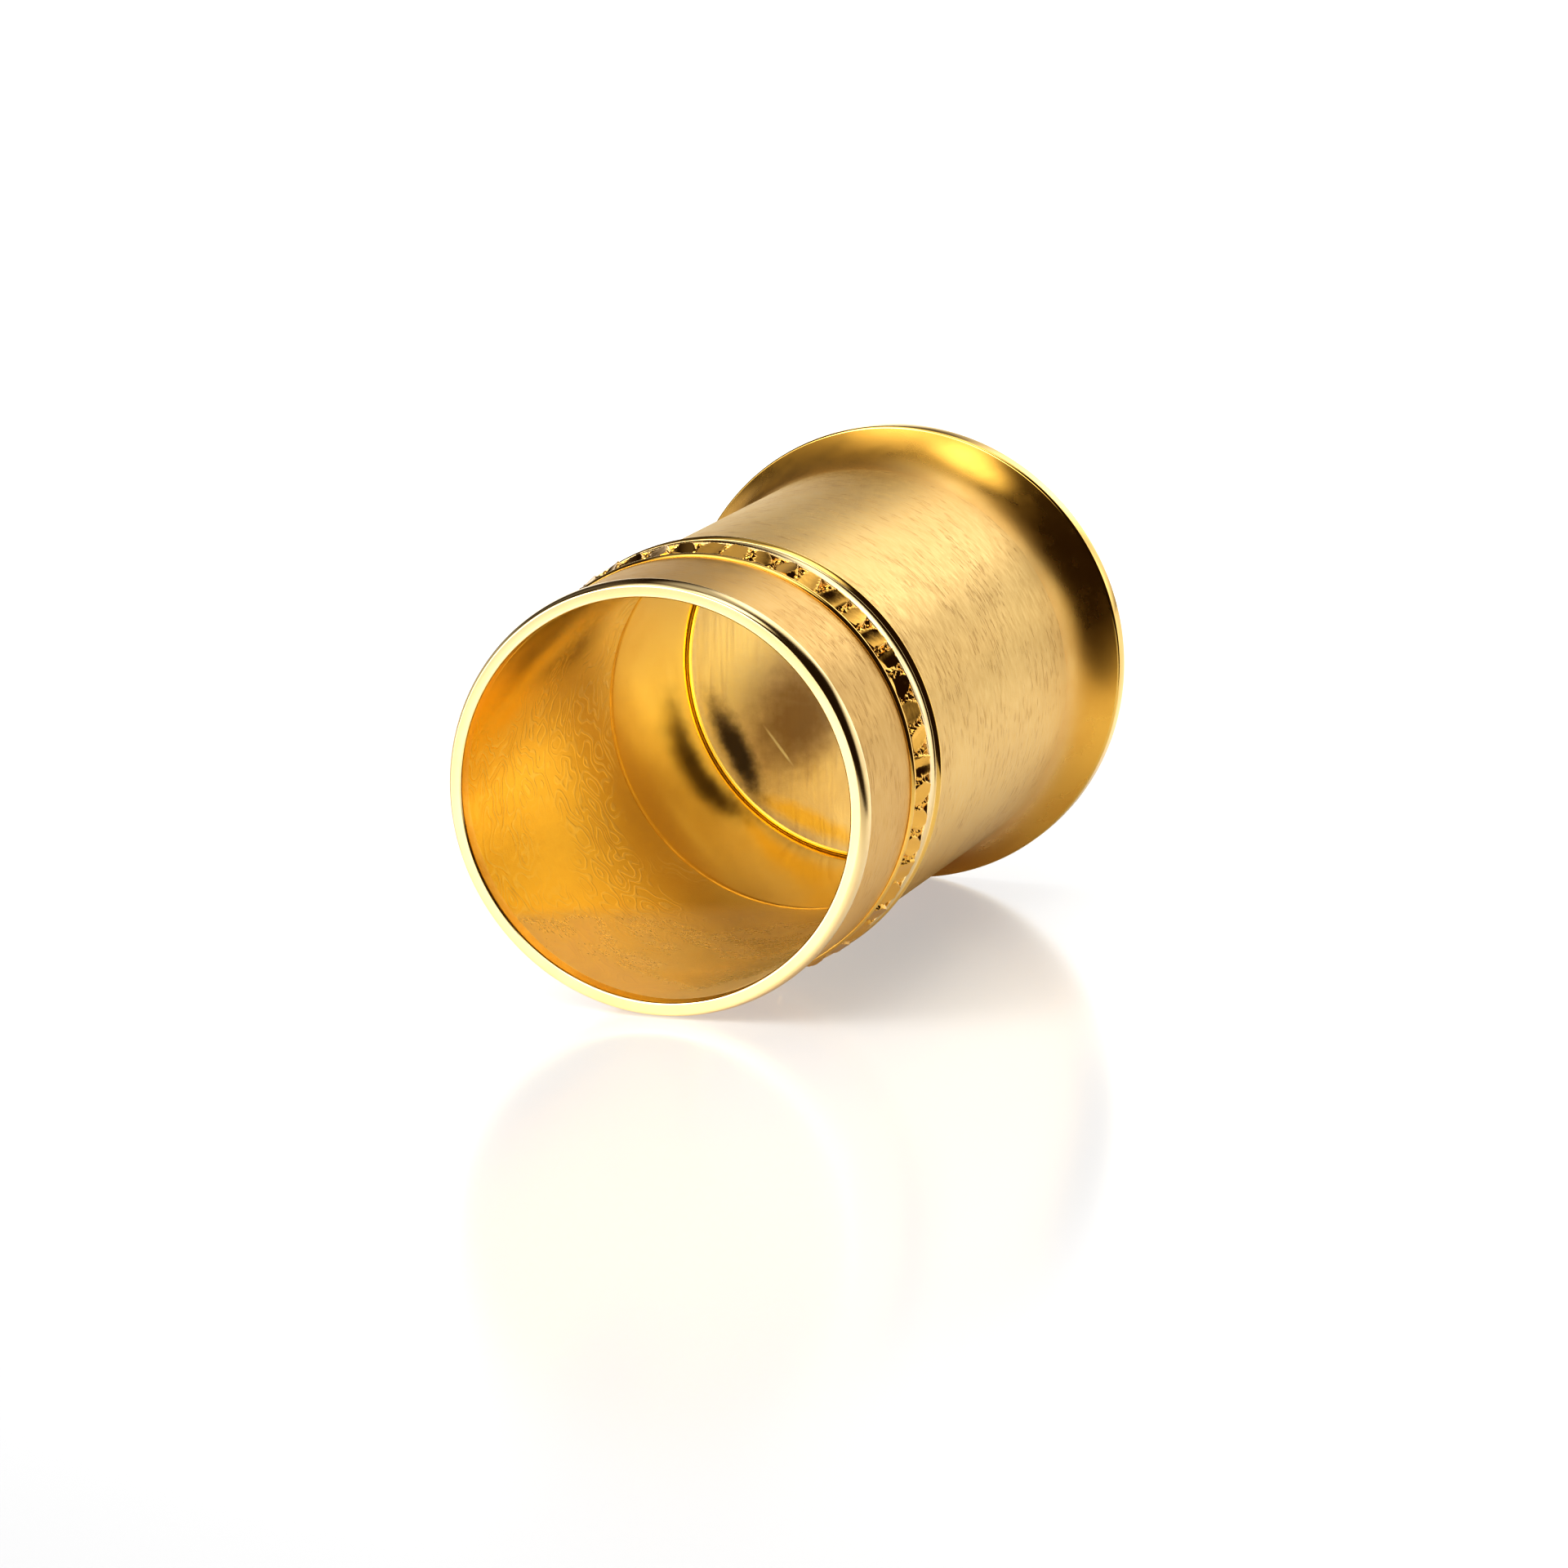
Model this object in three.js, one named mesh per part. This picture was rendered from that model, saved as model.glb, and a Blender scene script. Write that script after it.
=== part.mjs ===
// A metal drinking beaker: a satin tube with a thick lip, an ornamental band of four rings,
// a floor pan let in from below and a trumpet foot that stands on a thick ring.
// Millimetres, +Z up, with the origin at the centre of the face that the foot stands on.

import * as THREE from "three";

// Whole beaker
const OVERALL_HEIGHT = 122;
const MOUTH_BORE = 64.8;

// Body tube, whose wall thins towards the foot
const BODY_WALL_AT_MOUTH = 2.2;
const BODY_WALL_AT_FOOT = 1.7;

// Lip ring
const LIP_HEIGHT = 3;
const LIP_OVERHANG = 0.4;
const LIP_OUTER_ROUNDING = 1.1;
const LIP_INNER_ROUNDING = 0.7;
const LIP_UNDER_ROUNDING = 0.4;

// Floor pan, whose rim stands in a little from the bore above it
const PAN_HEIGHT = 37;
const PAN_WALL = 0.8;
const PAN_LEDGE = 0.3;
const PAN_FILLET = 2;

// Foot: the flare, the spigot on its neck that carries the pan, and the ring under its edge
const FOOT_DIAMETER = 78.2;
const FLARE_HEIGHT = 13.5;
const FLARE_EDGE_WIDTH = 2;
const SPIGOT_HEIGHT = 2.2;
const SPIGOT_WALL = 0.9;
const FOOT_RING_HEIGHT = 3.5;
const FOOT_RING_WIDTH = 3.2;
const FOOT_RING_STEP = 0.3;
const FOOT_RING_ROUNDING = 0.6;

// Ornamental band, from the mouth side to the foot side; each rise is measured from the body tube
const BAND_DEPTH = 23.1;
const WIRE_WIDTH = 1.6;
const WIRE_EDGE_RISE = 0.2;
const WIRE_RISE = 0.55;
const CHASED_WIDTH = 4.8;
const CHASED_EDGE_RISE = 0.9;
const CHASED_VALLEY_RISE = 1;
const CHASED_PEAK_RISE = 1.5;
const CHASED_BOSSES = 50;
const COVE_WIDTH = 3.5;
const COVE_RISE = 1.1;
const COVE_DEPTH = 0.3;
const BEAD_WIDTH = 3.4;
const BEAD_EDGE_RISE = 0.5;
const BEAD_RISE = 1.3;

// Clearance between pieces that slide over one another
const FIT_CLEARANCE = 0.05;

// Facets round the axis, and half the steps along one arc of a profile
const SEGMENTS = 60;
const ARC_HALF_STEPS = 2;
const FLARE_HALF_STEPS = 3;

// Heights of the faces where pieces meet
const flareTop = FOOT_RING_HEIGHT + FLARE_HEIGHT;
const panBottom = flareTop + SPIGOT_HEIGHT;
const panTop = panBottom + PAN_HEIGHT;
const floorTop = panBottom + PAN_WALL;
const lipSeat = OVERALL_HEIGHT - LIP_HEIGHT;
const bandTop = OVERALL_HEIGHT - BAND_DEPTH;
const wireBottom = bandTop - WIRE_WIDTH;
const chasedBottom = wireBottom - CHASED_WIDTH;
const coveBottom = chasedBottom - COVE_WIDTH;
const beadBottom = coveBottom - BEAD_WIDTH;

// Radii of the faces where pieces meet
const boreRadius = MOUTH_BORE / 2;
const bodyTopRadius = boreRadius + BODY_WALL_AT_MOUTH;
const bodyFootRadius = boreRadius + BODY_WALL_AT_FOOT;
const lipRadius = bodyTopRadius + LIP_OVERHANG;
const panInnerRadius = boreRadius - PAN_LEDGE;
const panOuterRadius = panInnerRadius + PAN_WALL;
const panSeatRadius = panOuterRadius + FIT_CLEARANCE;
const neckRadius = panOuterRadius - SPIGOT_WALL;
const footRadius = FOOT_DIAMETER / 2;
const flareEdgeRadius = footRadius - FOOT_RING_STEP;

// Quarter turn, for the roundings of the profiles
const QUARTER = Math.PI / 2;

// Points of a profile that lie closer than this are one point
const SAME_POINT = 1e-6;

// Outer radius of the tapered body tube at a height.
function bodyRadius(z) {
  return THREE.MathUtils.mapLinear(z, flareTop, lipSeat, bodyFootRadius, bodyTopRadius);
}

// Radius at which a ring that is slid over the body tube lies against it at a height.
function seatRadius(z) {
  return bodyRadius(z) + FIT_CLEARANCE;
}

// Finishes

function satinGold() {
  return new THREE.MeshStandardMaterial({ color: 0xe6c989, roughness: 0.42, metalness: 1 });
}

function polishedGold() {
  return new THREE.MeshStandardMaterial({ color: 0xf2c766, roughness: 0.12, metalness: 1 });
}

function chasedGold() {
  return new THREE.MeshStandardMaterial({ color: 0xd8a23a, roughness: 0.16, metalness: 1 });
}

function liningGold() {
  return new THREE.MeshStandardMaterial({ color: 0xe0a640, roughness: 0.24, metalness: 1 });
}

// A closed profile of radius against height, drawn anticlockwise and turned round the Z axis.
// Each profile starts with a straight line, and an arc's first point may repeat that line's end.
function turned(name, profile, material, halfSteps = ARC_HALF_STEPS) {
  const points = profile.getPoints(halfSteps);
  const distinct = points.filter((point, i) => i === 0 || point.distanceTo(points[i - 1]) > SAME_POINT);
  const geometry = new THREE.LatheGeometry(distinct, SEGMENTS);
  geometry.rotateX(QUARTER);
  const mesh = new THREE.Mesh(geometry, material);
  mesh.name = name;
  return mesh;
}

function lipRing() {
  const outerRound = lipRadius - LIP_OUTER_ROUNDING;
  const innerRound = boreRadius + LIP_INNER_ROUNDING;
  const underRound = lipRadius - LIP_UNDER_ROUNDING;
  const profile = new THREE.Path();
  profile.moveTo(boreRadius, lipSeat);
  profile.lineTo(underRound, lipSeat);
  profile.absarc(underRound, lipSeat + LIP_UNDER_ROUNDING, LIP_UNDER_ROUNDING, -QUARTER, 0);
  profile.absarc(outerRound, OVERALL_HEIGHT - LIP_OUTER_ROUNDING, LIP_OUTER_ROUNDING, 0, QUARTER);
  profile.absarc(innerRound, OVERALL_HEIGHT - LIP_INNER_ROUNDING, LIP_INNER_ROUNDING, QUARTER, 2 * QUARTER);
  profile.closePath();
  return turned("lip_ring", profile, polishedGold());
}

// The tube is bored wider below the pan's rim, so that the pan goes in from the foot end up to a shoulder.
function bodyTube() {
  const profile = new THREE.Path();
  profile.moveTo(panSeatRadius, flareTop);
  profile.lineTo(bodyFootRadius, flareTop);
  profile.lineTo(bodyTopRadius, lipSeat);
  profile.lineTo(boreRadius, lipSeat);
  profile.lineTo(boreRadius, panTop);
  profile.lineTo(panSeatRadius, panTop);
  profile.closePath();
  return turned("body_tube", profile, satinGold());
}

// The path ends on the axis, so it stays open there.
function floorPan() {
  const filletRadius = panInnerRadius - PAN_FILLET;
  const profile = new THREE.Path();
  profile.moveTo(0, panBottom);
  profile.lineTo(panOuterRadius, panBottom);
  profile.lineTo(panOuterRadius, panTop);
  profile.lineTo(panInnerRadius, panTop);
  profile.absarc(filletRadius, floorTop + PAN_FILLET, PAN_FILLET, 0, -QUARTER, true);
  profile.lineTo(0, floorTop);
  return turned("floor_pan", profile, liningGold());
}

// Centre, radius and sweep of an arc that leaves a neck straight down and spreads
// to an edge at the flare's foot.
function trumpetArc(neck, edge) {
  const sweep = 2 * Math.atan2(edge - neck, FLARE_HEIGHT);
  const radius = FLARE_HEIGHT / Math.sin(sweep);
  return { centre: neck + radius, radius, sweep };
}

// The outside leaves the body tube without a corner.
// The spigot on top goes up into the tube, under the pan.
function footFlare() {
  const outside = trumpetArc(bodyFootRadius, flareEdgeRadius);
  const inside = trumpetArc(neckRadius, flareEdgeRadius - FLARE_EDGE_WIDTH);
  const profile = new THREE.Path();
  profile.moveTo(neckRadius, panBottom);
  profile.lineTo(neckRadius, flareTop);
  profile.absarc(inside.centre, flareTop, inside.radius, Math.PI, Math.PI + inside.sweep);
  profile.absarc(outside.centre, flareTop, outside.radius, Math.PI + outside.sweep, Math.PI, true);
  profile.lineTo(panOuterRadius, flareTop);
  profile.lineTo(panOuterRadius, panBottom);
  profile.closePath();
  return turned("foot_flare", profile, polishedGold(), FLARE_HALF_STEPS);
}

function footRing() {
  const round = footRadius - FOOT_RING_ROUNDING;
  const innerRadius = footRadius - FOOT_RING_WIDTH;
  const profile = new THREE.Path();
  profile.moveTo(innerRadius, 0);
  profile.lineTo(round, 0);
  profile.absarc(round, FOOT_RING_ROUNDING, FOOT_RING_ROUNDING, -QUARTER, 0);
  profile.absarc(round, FOOT_RING_HEIGHT - FOOT_RING_ROUNDING, FOOT_RING_ROUNDING, 0, QUARTER);
  profile.lineTo(innerRadius, FOOT_RING_HEIGHT);
  profile.closePath();
  return turned("foot_ring", profile, polishedGold());
}

// A ring with a crowned outside, such as the wire and the bead at the band's edges.
function crownedRing(name, bottom, top, edgeRise, rise) {
  const middle = (bottom + top) / 2;
  const edgeRadius = bodyRadius(middle) + edgeRise;
  const profile = new THREE.Path();
  profile.moveTo(seatRadius(bottom), bottom);
  profile.lineTo(edgeRadius, bottom);
  profile.absellipse(edgeRadius, middle, rise - edgeRise, (top - bottom) / 2, -QUARTER, QUARTER);
  profile.lineTo(seatRadius(top), top);
  profile.closePath();
  return turned(name, profile, polishedGold(), FLARE_HALF_STEPS);
}

// A plain ring with a shallow hollow round its outside.
function coveRing() {
  const middle = (chasedBottom + coveBottom) / 2;
  const edgeRadius = bodyRadius(middle) + COVE_RISE;
  const profile = new THREE.Path();
  profile.moveTo(seatRadius(coveBottom), coveBottom);
  profile.lineTo(edgeRadius, coveBottom);
  profile.absellipse(edgeRadius, middle, COVE_DEPTH, COVE_WIDTH / 2, -QUARTER, QUARTER, true);
  profile.lineTo(seatRadius(chasedBottom), chasedBottom);
  profile.closePath();
  return turned("band_cove_ring", profile, polishedGold());
}

// A ring of four-sided bosses. Each boss has its peak in the middle of its cell, and a valley
// on each side that it shares with the next one.
function chasedRing() {
  const middle = (chasedBottom + wireBottom) / 2;
  const step = (2 * Math.PI) / CHASED_BOSSES;
  const body = bodyRadius(middle);
  const inner = seatRadius(wireBottom) / Math.cos(step / 2);
  const edge = body + CHASED_EDGE_RISE;
  const valley = body + CHASED_VALLEY_RISE;
  const peak = body + CHASED_PEAK_RISE;
  const place = (radius, z, turn) => [radius * Math.cos(turn * step), radius * Math.sin(turn * step), z];
  const corners = (turn) => ({
    innerBottom: place(inner, chasedBottom, turn),
    innerTop: place(inner, wireBottom, turn),
    edgeBottom: place(edge, chasedBottom, turn),
    edgeTop: place(edge, wireBottom, turn),
    valley: place(valley, middle, turn),
  });
  const faces = [];
  for (let boss = 0; boss < CHASED_BOSSES; boss += 1) {
    const a = corners(boss);
    const b = corners((boss + 1) % CHASED_BOSSES);
    const top = place(peak, middle, boss + 0.5);
    faces.push(a.innerBottom, a.innerTop, b.innerTop, a.innerBottom, b.innerTop, b.innerBottom);
    faces.push(a.edgeBottom, a.innerBottom, b.innerBottom, a.edgeBottom, b.innerBottom, b.edgeBottom);
    faces.push(a.innerTop, a.edgeTop, b.edgeTop, a.innerTop, b.edgeTop, b.innerTop);
    faces.push(a.edgeBottom, b.edgeBottom, top, b.edgeTop, a.edgeTop, top);
    faces.push(a.valley, a.edgeBottom, top, a.edgeTop, a.valley, top);
    faces.push(b.edgeBottom, b.valley, top, b.valley, b.edgeTop, top);
  }
  const geometry = new THREE.BufferGeometry();
  geometry.setAttribute("position", new THREE.Float32BufferAttribute(faces.flat(), 3));
  geometry.computeVertexNormals();
  const mesh = new THREE.Mesh(geometry, chasedGold());
  mesh.name = "band_chased_ring";
  return mesh;
}

function band() {
  const group = new THREE.Group();
  group.add(crownedRing("band_front_wire", wireBottom, bandTop, WIRE_EDGE_RISE, WIRE_RISE));
  group.add(chasedRing());
  group.add(coveRing());
  group.add(crownedRing("band_rear_bead", beadBottom, coveBottom, BEAD_EDGE_RISE, BEAD_RISE));
  return group;
}

function foot() {
  const group = new THREE.Group();
  group.add(footFlare());
  group.add(footRing());
  return group;
}

const beaker = new THREE.Group();
beaker.add(lipRing());
beaker.add(bodyTube());
beaker.add(floorPan());
beaker.add(band());
beaker.add(foot());

export default beaker;
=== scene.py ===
"""Looks of a gold-toned metal beaker, built around its solids.

Lengths are in metres, in the frame of the solids: +Z runs along the beaker's axis from the foot to the
mouth. The beaker is shown lying down, so the floor leans against its +Y side.
"""

import logging
import math
from dataclasses import dataclass, field, replace
from enum import Enum

import bpy
import numpy as np
from mathutils import Matrix, Vector


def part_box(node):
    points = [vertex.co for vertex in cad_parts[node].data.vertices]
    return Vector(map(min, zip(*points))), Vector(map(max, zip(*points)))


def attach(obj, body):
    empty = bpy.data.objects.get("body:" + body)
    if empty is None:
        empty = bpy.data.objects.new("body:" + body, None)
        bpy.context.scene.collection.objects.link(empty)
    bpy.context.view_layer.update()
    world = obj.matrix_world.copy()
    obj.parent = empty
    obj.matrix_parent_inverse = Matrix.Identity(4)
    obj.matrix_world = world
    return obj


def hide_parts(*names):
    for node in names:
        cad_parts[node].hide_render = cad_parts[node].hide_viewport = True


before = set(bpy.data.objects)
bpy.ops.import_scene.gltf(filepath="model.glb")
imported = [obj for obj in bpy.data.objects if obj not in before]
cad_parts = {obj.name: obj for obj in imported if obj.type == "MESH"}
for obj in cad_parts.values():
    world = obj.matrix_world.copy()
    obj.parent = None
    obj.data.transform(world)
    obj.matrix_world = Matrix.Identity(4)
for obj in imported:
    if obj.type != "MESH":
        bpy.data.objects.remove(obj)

log = logging.getLogger("beaker")

BODY = "root"
MM = 0.001
MICRON = 0.001 * MM

# Facets round the axis of a turned piece, and the angle past which an edge stays crisp
SEGMENTS = 240
CRISP_ANGLE = math.radians(28)

# Points of an outline that lie closer than this are one point
SAME_POINT = 1e-8

Point = tuple[float, float]
Range = tuple[float, float]
Colour = tuple[float, float, float, float]

WHITE: Colour = (1.0, 1.0, 1.0, 1.0)
SATIN_COLOUR: Colour = (0.95, 0.68, 0.27, 1)


class Finish(Enum):
    """The gold finishes on the beaker."""

    SATIN = "satin_gold"
    POLISHED = "polished_gold"
    CHASED = "chased_gold"
    LINING = "lining_gold"
    RUBBED = "rubbed_bore_gold"
    FLOOR = "pan_floor_gold"
    BURNISHED = "burnished_foot_gold"
    BRIGHT = "bright_lip_gold"
    SEAM = "pan_seam_gold"


class Slot(Enum):
    """The material slots that the solids name."""

    SATIN = "satin_gold"
    POLISHED = "polished_gold"
    CHASED = "chased_gold"
    LINING = "lining_gold"


@dataclass(frozen=True)
class Span:
    """The room that a solid takes: its outer radius and the heights of its two ends."""

    radius: float
    low: float
    high: float

    @classmethod
    def of(cls, node: str) -> "Span":
        """Span of the solid with a name, read from the frame."""
        lowest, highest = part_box(node)
        return cls(highest.x, lowest.z, highest.z)

    @property
    def middle(self) -> float:
        """Height half way between the two ends."""
        return (self.low + self.high) / 2

    @property
    def width(self) -> float:
        """Distance between the two ends."""
        return self.high - self.low


@dataclass
class Outline:
    """The outline of a turned piece, drawn anticlockwise as points of radius and height.

    Attributes:
        points: The outline's points, in order.
        finishes: The finish of the stretch that starts at each point.
        closed: Whether the last point joins the first, or both lie on the axis.
        finish: The finish of the stretches that are drawn next.
    """

    points: list[Point] = field(default_factory=list)
    finishes: list[int] = field(default_factory=list)
    closed: bool = True
    finish: int = 0

    def use(self, finish: int) -> "Outline":
        """Gives the stretches that follow the finish with this number."""
        self.finish = finish
        return self

    def to(self, radius: float, height: float, steps: int = 1) -> "Outline":
        """Draws a straight stretch to a point.

        Args:
            radius: The point's radius.
            height: The point's height.
            steps: The number of equal parts that the stretch is cut into.

        Returns:
            The outline itself.
        """
        if not self.points:
            self._add(radius, height)
            return self
        start_radius, start_height = self.points[-1]
        for step in range(1, steps + 1):
            share = step / steps
            self._add(
                start_radius + (radius - start_radius) * share,
                start_height + (height - start_height) * share,
            )
        return self

    def arc(self, centre: Point, radii: Point, start: float, end: float, steps: int = 8) -> "Outline":
        """Draws a round or elliptical arc, with a straight stretch to its start where there is a gap.

        Args:
            centre: The radius and height of its middle.
            radii: Its half axes along radius and height.
            start: The angle that it starts at, in degrees.
            end: The angle that it ends at, in degrees.
            steps: The number of chords.

        Returns:
            The outline itself.
        """
        for step in range(steps + 1):
            angle = math.radians(start + (end - start) * step / steps)
            self._add(centre[0] + radii[0] * math.cos(angle), centre[1] + radii[1] * math.sin(angle))
        return self

    def _add(self, radius: float, height: float) -> None:
        """Adds a point, unless it repeats the last one.

        Args:
            radius: The point's radius.
            height: The point's height.
        """
        if self.points and math.dist(self.points[-1], (radius, height)) < SAME_POINT:
            return
        self.points.append((radius, height))
        self.finishes.append(self.finish)

    def along(self) -> np.ndarray:
        """Distance of each point from the first, measured along the outline."""
        line = np.array(self.points)
        return np.concatenate([[0.0], np.cumsum(np.linalg.norm(np.diff(line, axis=0), axis=1))])

    def corners(self) -> np.ndarray:
        """How sharply the outline turns at each point.

        Returns:
            One number for each point, from 0 on a straight to 1 at a right angle.
        """
        line = np.array(self.points)
        before = line - np.roll(line, 1, axis=0)
        after = np.roll(line, -1, axis=0) - line
        turn = np.arctan2(
            before[:, 0] * after[:, 1] - before[:, 1] * after[:, 0],
            (before * after).sum(axis=1),
        )
        return np.clip(np.abs(turn) / (math.pi / 2), 0, 1)


@dataclass(frozen=True)
class HandWobble:
    """The slight unroundness that a hand-finished piece has.

    Attributes:
        height: The largest departure from a true circle.
        seed: The number that its ripples are drawn from.
        waves: The fewest and the most ripples round the axis.
        twist: How much the ripples drift round the axis, in turns for each metre along it.
    """

    height: float
    seed: int
    waves: tuple[int, int] = (3, 17)
    twist: float = 9.0

    def at(self, angles: np.ndarray, heights: np.ndarray) -> np.ndarray:
        """Departure from a true circle, for each angle and height.

        Args:
            angles: Angles round the axis, as a column.
            heights: Heights along the axis, as a row.

        Returns:
            The change of radius, as a table of angles by heights.
        """
        draw = np.random.default_rng(self.seed)
        total = np.zeros((angles.shape[0], heights.shape[1]))
        counts = range(self.waves[0], self.waves[1] + 1)
        for count in counts:
            size, phase, drift = draw.uniform(-1, 1), draw.uniform(0, 2 * math.pi), draw.uniform(-1, 1)
            turn = count * angles + phase + drift * self.twist * 2 * math.pi * heights
            total += size / math.sqrt(count) * np.cos(turn)
        return self.height * total / math.sqrt(len(counts))


def add_to_scene(name: str, data: bpy.types.ID) -> bpy.types.Object:
    """Makes an object of a mesh or a camera.

    Args:
        name: The object's name.
        data: The mesh or the camera.

    Returns:
        The new object, linked to the scene.
    """
    thing = bpy.data.objects.new(name, data)
    bpy.context.scene.collection.objects.link(thing)
    return thing


def mesh_piece(
    name: str, points: np.ndarray, faces: list[tuple[int, ...]], finishes: list[int]
) -> bpy.types.Object:
    """Makes a smooth-shaded mesh object with crisp edges where its faces meet at an angle.

    Args:
        name: The object's name.
        points: The vertices, one row each.
        faces: The vertex numbers of each face.
        finishes: The material number of each face.

    Returns:
        The new object, linked to the scene.
    """
    mesh = bpy.data.meshes.new(name)
    mesh.from_pydata(points.tolist(), [], faces)
    mesh.polygons.foreach_set("material_index", finishes)
    mesh.polygons.foreach_set("use_smooth", [True] * len(faces))
    mesh.set_sharp_from_angle(angle=CRISP_ANGLE)
    mesh.update()
    return add_to_scene(name, mesh)


def write_values(piece: bpy.types.Object, name: str, values: np.ndarray) -> None:
    """Stores one number for each vertex of a piece, under a name that the finishes read."""
    attribute = piece.data.attributes.new(name, "FLOAT", "POINT")
    attribute.data.foreach_set("value", values.astype(np.float32).ravel())


def turn_outline(name: str, outline: Outline, wobble: HandWobble | None = None) -> bpy.types.Object:
    """Turns an outline round the Z axis.

    Args:
        name: The object's name.
        outline: The outline to turn.
        wobble: The unroundness to give it, if any.

    Returns:
        The turned object, with its distances along the outline and its corners stored on it.
    """
    line = np.array(outline.points)
    count = len(line)
    angles = np.linspace(0, 2 * math.pi, SEGMENTS, endpoint=False)[:, None]
    radii = np.repeat(line[None, :, 0], SEGMENTS, axis=0)
    heights = np.repeat(line[None, :, 1], SEGMENTS, axis=0)
    if wobble:
        radii = np.where(radii > 0, radii + wobble.at(angles, heights[:1]), radii)
    points = np.stack([radii * np.cos(angles), radii * np.sin(angles), heights], axis=2).reshape(-1, 3)
    stretches = count if outline.closed else count - 1
    faces, finishes = [], []
    for segment in range(SEGMENTS):
        here, there = segment * count, (segment + 1) % SEGMENTS * count
        for start in range(stretches):
            end = (start + 1) % count
            corners = [here + start, there + start, there + end, here + end]
            if line[start, 0] == 0:
                corners = [start, there + end, here + end]
            elif line[end, 0] == 0:
                corners = [here + start, there + start, end]
            faces.append(tuple(corners))
            finishes.append(outline.finishes[end])
    piece = mesh_piece(name, points, faces, finishes)
    write_values(piece, "along", np.tile(outline.along(), SEGMENTS))
    write_values(piece, "edge", np.tile(outline.corners(), SEGMENTS))
    return piece


class NodeTree:
    """Adds nodes to one shader tree and joins their sockets."""

    def __init__(self, tree: bpy.types.NodeTree) -> None:
        """Starts on a tree, which is emptied."""
        self.tree = tree
        tree.nodes.clear()

    def add(self, kind: str, inputs: dict | None = None, **settings: object) -> bpy.types.Node:
        """Adds a node.

        Args:
            kind: The node's type without its ShaderNode prefix.
            inputs: What each input holds: a plain value, or another node's output to join to it.
            settings: The node's own properties.

        Returns:
            The new node.
        """
        node = self.tree.nodes.new(kind if kind.startswith("NodeGroup") else "ShaderNode" + kind)
        for name, value in settings.items():
            setattr(node, name, value)
        for key, value in (inputs or {}).items():
            self.put(value, node.inputs[key])
        return node

    def put(self, value: object, socket: bpy.types.NodeSocket) -> None:
        """Sets a socket to a plain value, or joins another node's output to it.

        Args:
            value: The plain value or the output.
            socket: The input to fill.
        """
        if isinstance(value, bpy.types.NodeSocket):
            self.tree.links.new(value, socket)
        else:
            socket.default_value = value

    def math(self, operation: str, *values: object) -> bpy.types.NodeSocket:
        """Result of a Math node on values or outputs."""
        return self.add("Math", dict(enumerate(values)), operation=operation).outputs[0]

    def vector(self, operation: str, *values: object) -> bpy.types.NodeSocket:
        """Result of a Vector Math node on vectors or outputs."""
        return self.add("VectorMath", dict(enumerate(values)), operation=operation).outputs[0]

    def measure(self, operation: str, *vectors: object) -> bpy.types.NodeSocket:
        """Number that a Vector Math node gives for vectors or outputs."""
        return self.add("VectorMath", dict(enumerate(vectors)), operation=operation).outputs["Value"]

    def place(self) -> bpy.types.NodeSocket:
        """Place on the piece, in the frame of the solids."""
        return self.add("TexCoord").outputs["Object"]

    def stored(self, name: str) -> bpy.types.NodeSocket:
        """Number that the piece stores at each vertex under a name."""
        return self.add("Attribute", attribute_name=name).outputs["Fac"]

    def end(self, kind: str, shader: bpy.types.NodeSocket) -> None:
        """Ends the tree with an output node of a kind."""
        self.put(shader, self.add(kind).inputs["Surface"])

    def ramp(
        self, value: object, low: float, high: float, start: float = 0.0, end: float = 1.0
    ) -> bpy.types.NodeSocket:
        """Smooth step from start to end, as a value goes from low to high."""
        values = {"Value": value, "From Min": low, "From Max": high, "To Min": start, "To Max": end}
        return self.add("MapRange", values, interpolation_type="SMOOTHSTEP").outputs["Result"]

    def blend(self, share: object, first: object, second: object) -> bpy.types.NodeSocket:
        """Mixes two colours.

        Args:
            share: How much of the second colour shows.
            first: A colour or an output.
            second: A colour or an output.

        Returns:
            The mixed colour's socket.
        """
        node = self.add("Mix", data_type="RGBA")
        self.put(share, node.inputs["Factor"])
        self.put(first, node.inputs[6])
        self.put(second, node.inputs[7])
        return node.outputs[2]

    def noise(
        self, vector: object, scale: object, detail: float = 2.0, rough: float = 0.5
    ) -> bpy.types.NodeSocket:
        """Noise from 0 to 1 at a place."""
        values = {"Vector": vector, "Scale": scale, "Detail": detail, "Roughness": rough}
        return self.add("TexNoise", values).outputs[0]


def new_material(name: str) -> tuple[bpy.types.Material, NodeTree]:
    """Makes a material with an empty node tree.

    Args:
        name: The material's name.

    Returns:
        The material and its nodes.
    """
    material = bpy.data.materials.new(name)
    material.use_nodes = True
    return material, NodeTree(material.node_tree)


class Effect(Enum):
    """The shared surface effects, by the names of their node groups."""

    BRUSHING = "turned brushing"
    SWIRLS = "rubbed swirls"
    HANDLING = "handling marks"
    RIPPLE = "hand-polish ripple"
    EDGES = "edge wear"


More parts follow.
